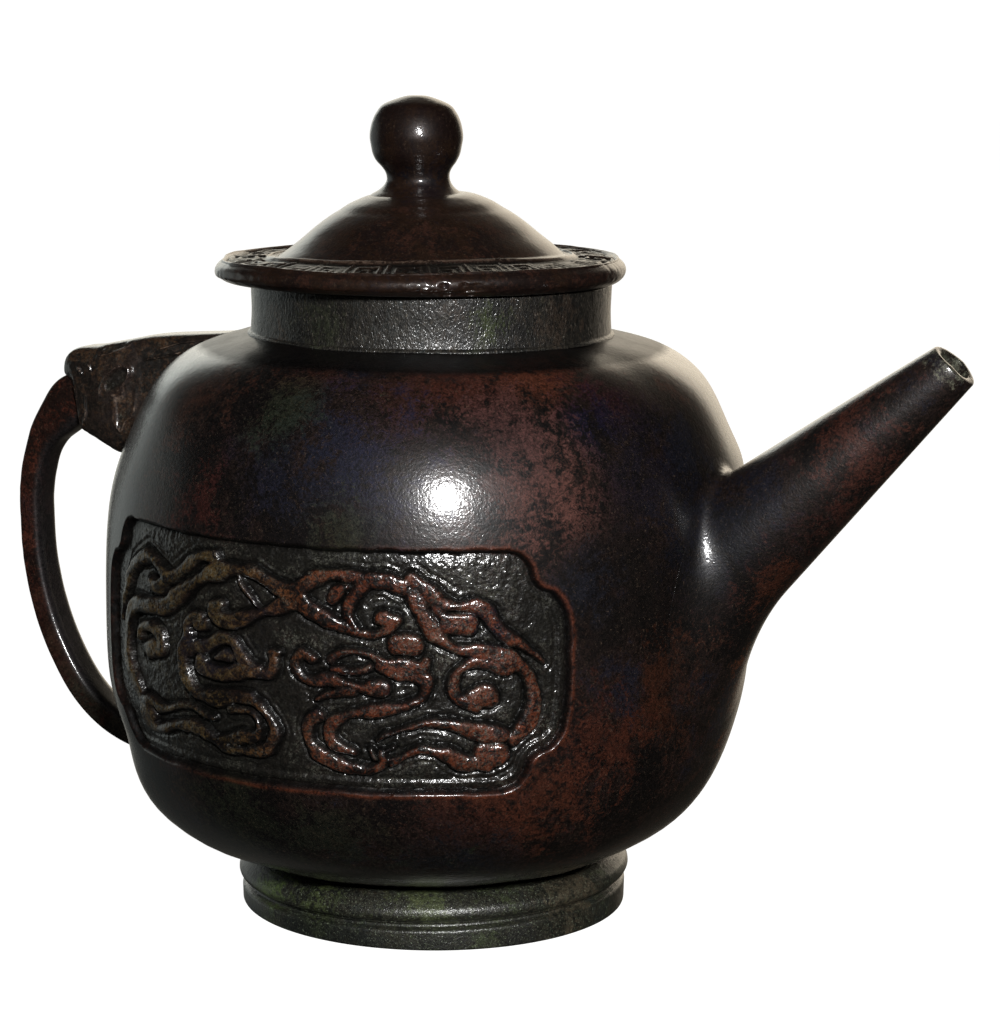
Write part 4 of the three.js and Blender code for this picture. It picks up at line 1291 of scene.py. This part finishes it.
@dataclass
class Lid:
    """The lid, its flange, the finial and the washer. Sizes are in millimetres."""

    rim: float = 40.8
    brim: float = 4.3
    columns: int = 576
    fine: float = 0.3
    repeats: int = 28
    fret_radius: float = 35
    chipped: Pair = (34, 8)
    skin: Material = field(default_factory=LID_SKIN.build)
    inner: Material = field(default_factory=INNER_SKIN.build)

    def section(self, low: float, high: float) -> tuple[np.ndarray, np.ndarray]:
        """Draws the cover's section: under the dome, down its wall, round the rim and back over the dome.

        Args:
            low, high: The cover's lowest and highest z.

        Returns:
            The radius and height of each ring of points, which lie closer on the brim than elsewhere.
        """
        top = low + self.brim
        under = ((0.01, high - 2.4, 0), (8.8, high - 2.4, 1), (19, top + 4.6, 3), (26, top - 0.4, 2),
                 (28.2, low + 2.4, 0.5), (28.2, low, 0.2), (38.9, low, 1.2), (self.rim, low + 1.5, 1.5),
                 (self.rim - 0.1, top - 1.1, 1.4), (39.4, top, 0.5), (39, top, 0.2), (30, top + 0.4, 0.2))
        over = catmull(np.array([(r, high + z) for r, z in DOME]), 5)
        section = np.array(rounded(under, 5)[1:] + [tuple(p) for p in over])
        gaps = np.linalg.norm(np.diff(section, axis=0), axis=1)
        share = np.concatenate([[0], np.cumsum(gaps)])
        outside = (section[:, 0] > 29.5) & (section[:, 1] > low + 0.5)
        start, end = share[outside].min(), share[outside].max()
        kept = np.unique(np.concatenate([share, np.arange(start, end, self.fine)]).round(2))
        return np.interp(kept, share, section[:, 0]), np.interp(kept, share, section[:, 1])

    def fret(self, spread: np.ndarray, r: np.ndarray, band: np.ndarray) -> tuple[np.ndarray, np.ndarray]:
        """Cuts the fret and its two border lines, worn away in places.

        Args:
            spread, r: Angle and radius of each place.
            band: Where the brim's top is.

        Returns:
            How far each place is raised and how far it is sunk, from 0 to 1.
        """
        along = spread * self.fret_radius
        cell = 2 * math.pi * self.fret_radius / self.repeats
        wear = 0.1 + 0.9 * speckle(along, r, 3.7, 21)
        rise = crown(ridge_distance(along % cell, r - 31.6, FRET), 0.4) * wear
        edge = np.minimum(np.abs(r - 30.5), np.abs(r - 38.9))
        border = crown(edge - 0.3 - 0.4 * speckle(along, r, 5, 22), 0.45)
        rise = np.where(band, np.maximum(rise * ((r > 31.2) & (r < 38.6)), border), 0)
        return rise, np.where(band, smoothstep(30.0, 31.0, r) * smoothstep(39.4, 38.6, r), 0)

    def build_cover(self) -> Thing:
        """Builds the cover: a worn round rim, the fret band and the dome."""
        low, high = height_of("lid_cover")
        radius, z = self.section(low, high)
        angle = np.arange(self.columns) * 2 * math.pi / self.columns
        spread, r = np.meshgrid(angle, radius)
        z = z[:, None] + 0 * spread
        band = (z > low + self.brim - 0.3) & (r > 29.6) & (r < 39.6)
        rise, sunk = self.fret(spread, r, band)
        # Chips are bitten out of the rim, most of them near one place in front.
        off = (np.degrees(spread) - self.chipped[0] + 180) % 360 - 180
        near = 0.1 + 0.75 * np.exp(-off ** 2 / self.chipped[1] ** 2)
        bites = smoothstep(0.4, 0.85, speckle(spread * 40, z * 1.2 + r, 1.2, 23))
        chips = np.where((r > 38.5) & (z > low + 0.4), near * bites, 0)
        # The brim is beaten up in front and the whole lid sits a little askew.
        facing = np.clip(np.cos(spread - VIEW_TURN * DEG), 0, 1) ** 1.2
        upper = smoothstep(low + 0.4, low + 2, z)
        tilt = np.interp(r, (0, 26, 30, 41), (0, 0.7, 0.35, 0.35)) * np.sin(spread - VIEW_TURN * DEG)
        uneven = 0.16 * wobble(r * np.sin(spread), r * np.cos(spread), 0 * r, 30, 24)
        z = z + 0.5 * rise - 0.42 * sunk + 0.35 * facing * smoothstep(10, 26, r)
        z = z + upper * (1.2 * facing * smoothstep(12, 29, r) * (1 - smoothstep(30, 38.5, r)) + tilt + uneven)
        round_off = 0.16 * wobble(40 * np.sin(spread), 40 * np.cos(spread), 0 * r, 25, 25)
        r = r - 0.7 * chips + round_off * (r > 30)
        obj = skin("lid_cover_fine", around(middle("lid_cover"), r, spread, z), ring=True, loop=True)
        put_attribute(obj, "rise", rise)
        put_attribute(obj, "sunk", sunk * (1 - rise))
        # Painted shade in the fret's sunken hollows.
        put_attribute(obj, "shade", 0.8 * sunk * (1 - rise))
        finish_mesh(obj, 60)
        return obj

    def build_flange(self) -> Thing:
        """Builds the flange that keeps the lid in the mouth."""
        low, high = height_of("lid_flange")
        corners = ((28.2, low, 0.5), (30.2, low, 0.6), (30.2, high, 0.1), (28.2, high, 0.1))
        return turned("lid_flange_fine", rounded(corners), middle("lid_flange"), 160)

    def build_finial(self) -> Thing:
        """Builds the ball finial with its stem and tenon."""
        low, seat = height_of("finial")[0], height_of("lid_cover")[1]
        section = [(0, low), (2.8, low), (2.8, seat)]
        section += [(max(0, r), seat + z) for r, z in catmull(np.array(FINIAL), 5)]
        centre = middle("finial")
        obj = turned("finial_fine", section, centre, 128)
        # The stem stands a little to the right of the tenon, and the ball a little to the left.
        for vertex in obj.data.vertices:
            above = vertex.co.z / MM - seat
            share = min(1, max(0, (above - 2.5) / 4))
            away = (vertex.co / MM - centre).to_2d().length
            if above > -1.8 and away > 4:
                vertex.co += VIEW_RIGHT * (0.4 - 0.45 * share) * MM
        return obj

    def build_washer(self) -> Thing:
        """Builds the washer that the tenon is peened over."""
        low, high = height_of("finial_washer")
        corners = ((3.1, low, 0.2), (6.2, low, 0.3), (6.2, high, 0.1), (3.1, high, 0.1))
        return turned("finial_washer_fine", rounded(corners, 3), middle("finial_washer"), 64)

    def build(self) -> None:
        """Builds and places the lid's pieces."""
        place(self.build_cover(), Body.LID, Slot.LID, self.skin, "lid_cover")
        place(self.build_finial(), Body.LID, Slot.LID, self.skin, "finial")
        place(self.build_flange(), Body.LID, Slot.INNER, self.inner, "lid_flange")
        place(self.build_washer(), Body.LID, Slot.INNER, self.inner, "finial_washer")


# The studio

@dataclass
class Studio:
    """A plain pale floor, soft light and the camera at the photograph's angle. Places are in millimetres."""

    azimuth: float = VIEW_TURN
    away: float = 600
    height: float = 182
    pitch: float = 9.65
    yaw: float = 1.36
    roll: float = -0.53
    lens: float = 107.26
    dim: float = 0.012

    def turn(self, x: float, y: float, z: float) -> Vector:
        """Returns a direction given as right, forward and up of the photograph, in the row's frame."""
        c, s = math.cos(self.azimuth * DEG), math.sin(self.azimuth * DEG)
        return Vector((c * x - s * y, s * x + c * y, z))

    def aim(self, azimuth: float, elevation: float) -> Vector:
        """Returns the direction at degrees to the right of the camera's own and above the level."""
        a, e = azimuth * DEG, elevation * DEG
        return self.turn(math.sin(a) * math.cos(e), math.cos(a) * math.cos(e), math.sin(e))

    def camera(self) -> None:
        """Adds the camera."""
        place_at = (POT_AXIS + self.turn(0.5, -self.away, self.height)) * MM
        roll = self.roll * DEG
        forward = self.aim(self.yaw, -self.pitch)
        right = forward.cross(UP).normalized()
        down = forward.cross(right)
        right_r = math.cos(roll) * right + math.sin(roll) * down
        down_r = -math.sin(roll) * right + math.cos(roll) * down
        data = bpy.data.cameras.new("camera")
        data.lens = self.lens
        data.sensor_width = 36
        data.clip_start = 0.01
        obj = bpy.data.objects.new("camera", data)
        rotation = Matrix((right_r, -down_r, -forward)).transposed().to_4x4()
        obj.matrix_world = Matrix.Translation(place_at) @ rotation
        bpy.context.scene.collection.objects.link(obj)
        bpy.context.scene.camera = obj

    def softbox(self, name: str, at: Point, size: Pair, power: float, mirrored: bool = True) -> None:
        """Adds a soft light aimed at the pot.

        Args:
            name: The light's name.
            at: Azimuth from the camera to its right, elevation, both in degrees, and distance.
            size: Width and height.
            power: Watts.
            mirrored: Whether polished faces show the light itself.
        """
        azimuth, elevation, distance = at
        way = self.aim(180 - azimuth, elevation)
        data = bpy.data.lights.new(name, "AREA")
        data.shape, data.size, data.size_y, data.energy = "RECTANGLE", size[0] * MM, size[1] * MM, power
        obj = bpy.data.objects.new(name, data)
        obj.location = (POT_AXIS + Vector((0, 0, 80)) + way * distance) * MM
        obj.rotation_euler = (-way).to_track_quat("-Z", "Y").to_euler()
        obj.visible_glossy = mirrored
        bpy.context.scene.collection.objects.link(obj)

    def floor(self) -> None:
        """Adds the pale floor."""
        bpy.ops.mesh.primitive_plane_add(size=8, location=(0, 0, 0))
        obj = bpy.context.active_object
        obj.name = "floor"
        material = bpy.data.materials.new("pale_floor")
        material.use_nodes = True
        tree = material.node_tree
        tree.nodes.clear()
        path = add(tree, "ShaderNodeLightPath")
        matt = add(tree, "ShaderNodeBsdfDiffuse", {"Color": linear("#8c8a84")})
        glow = add(tree, "ShaderNodeEmission", {"Color": (1, 1, 1, 1), "Strength": 1.0})
        clear = add(tree, "ShaderNodeBsdfTransparent")
        both = add(tree, "ShaderNodeAddShader", {0: matt.outputs[0], 1: glow.outputs[0]})
        seen = add(tree, "ShaderNodeMixShader", {
            0: path.outputs["Is Camera Ray"], 1: matt.outputs[0], 2: both.outputs[0]})
        seen = add(tree, "ShaderNodeMixShader", {
            0: path.outputs["Is Glossy Ray"], 1: seen.outputs[0], 2: clear.outputs[0]})
        add(tree, "ShaderNodeOutputMaterial", {"Surface": seen.outputs[0]})
        obj.data.materials.append(material)

    def world(self) -> None:
        """Sets a white surround behind the pot and a dim room on the camera's side."""
        world = bpy.data.worlds.new("studio")
        bpy.context.scene.world = world
        world.use_nodes = True
        tree = world.node_tree
        tree.nodes.clear()
        seen_plain = add(tree, "ShaderNodeLightPath").outputs["Is Camera Ray"]
        way = add(tree, "ShaderNodeTexCoord").outputs["Generated"]
        up = add(tree, "ShaderNodeSeparateXYZ", {0: way}).outputs[2]
        mix = Mixer(tree, way)
        side = mix.along(way, self.turn(1, 0, 0))

        def cone(at: Pair, none: float, full: float) -> Socket:
            """Returns 1 inside a cone about an azimuth and elevation and 0 outside, by cosines."""
            return mix.ramp(mix.along(way, self.aim(*at)), none, full, 0, 1)

        # A bright window behind the pot, cut off above, and a paler wall to its left.
        window = mix.times(cone((3.5, 6), 0.82, 0.9), mix.ramp(up, -0.45, 0.3, 0.1, 1.85))
        window = mix.times(window, mix.ramp(up, 0.44, 0.58, 1, 0))
        wall = mix.times(cone((-14, -2), 0.4, 0.7), mix.ramp(up, 0.1, 0.36, 0.42, 0))
        wall = mix.times(wall, mix.ramp(side, 0.1, 0.4, 1, 0.3))
        wall = mix.times(wall, mix.ramp(up, -0.38, -0.12, 0.1, 1))
        level = mix.maths("ADD", mix.maths("MAXIMUM", window, wall), self.dim)
        tint = mix.blend(mix.ramp(side, -0.6, 0.3, 0, 1), linear("#e6eeea"), linear("#fff0d8"))
        tint = mix.blend(seen_plain, tint, (1, 1, 1, 1))
        light = add(tree, "ShaderNodeBackground", {
            "Color": tint, "Strength": mix.maths("MAXIMUM", level, seen_plain)})
        add(tree, "ShaderNodeOutputWorld", {"Surface": light.outputs[0]})

    def build(self) -> None:
        """Sets up light, floor and camera."""
        self.world()
        self.floor()
        self.softbox("key", (7.5, 20.3, 900), (90, 100), 8.8)
        self.softbox("fill", (-25, 50, 1100), (700, 500), 2.5, mirrored=False)
        self.camera()
        bpy.context.scene.view_settings.view_transform = "Standard"


def main() -> None:
    """Builds the ewer and its studio."""
    logging.basicConfig(level=logging.INFO, format="%(message)s")
    vessel = Vessel()
    vessel.build()
    Ring().build()
    Spout(vessel).build()
    Handle().build()
    Lid().build()
    Studio().build()


if __name__ == "__main__":
    main()
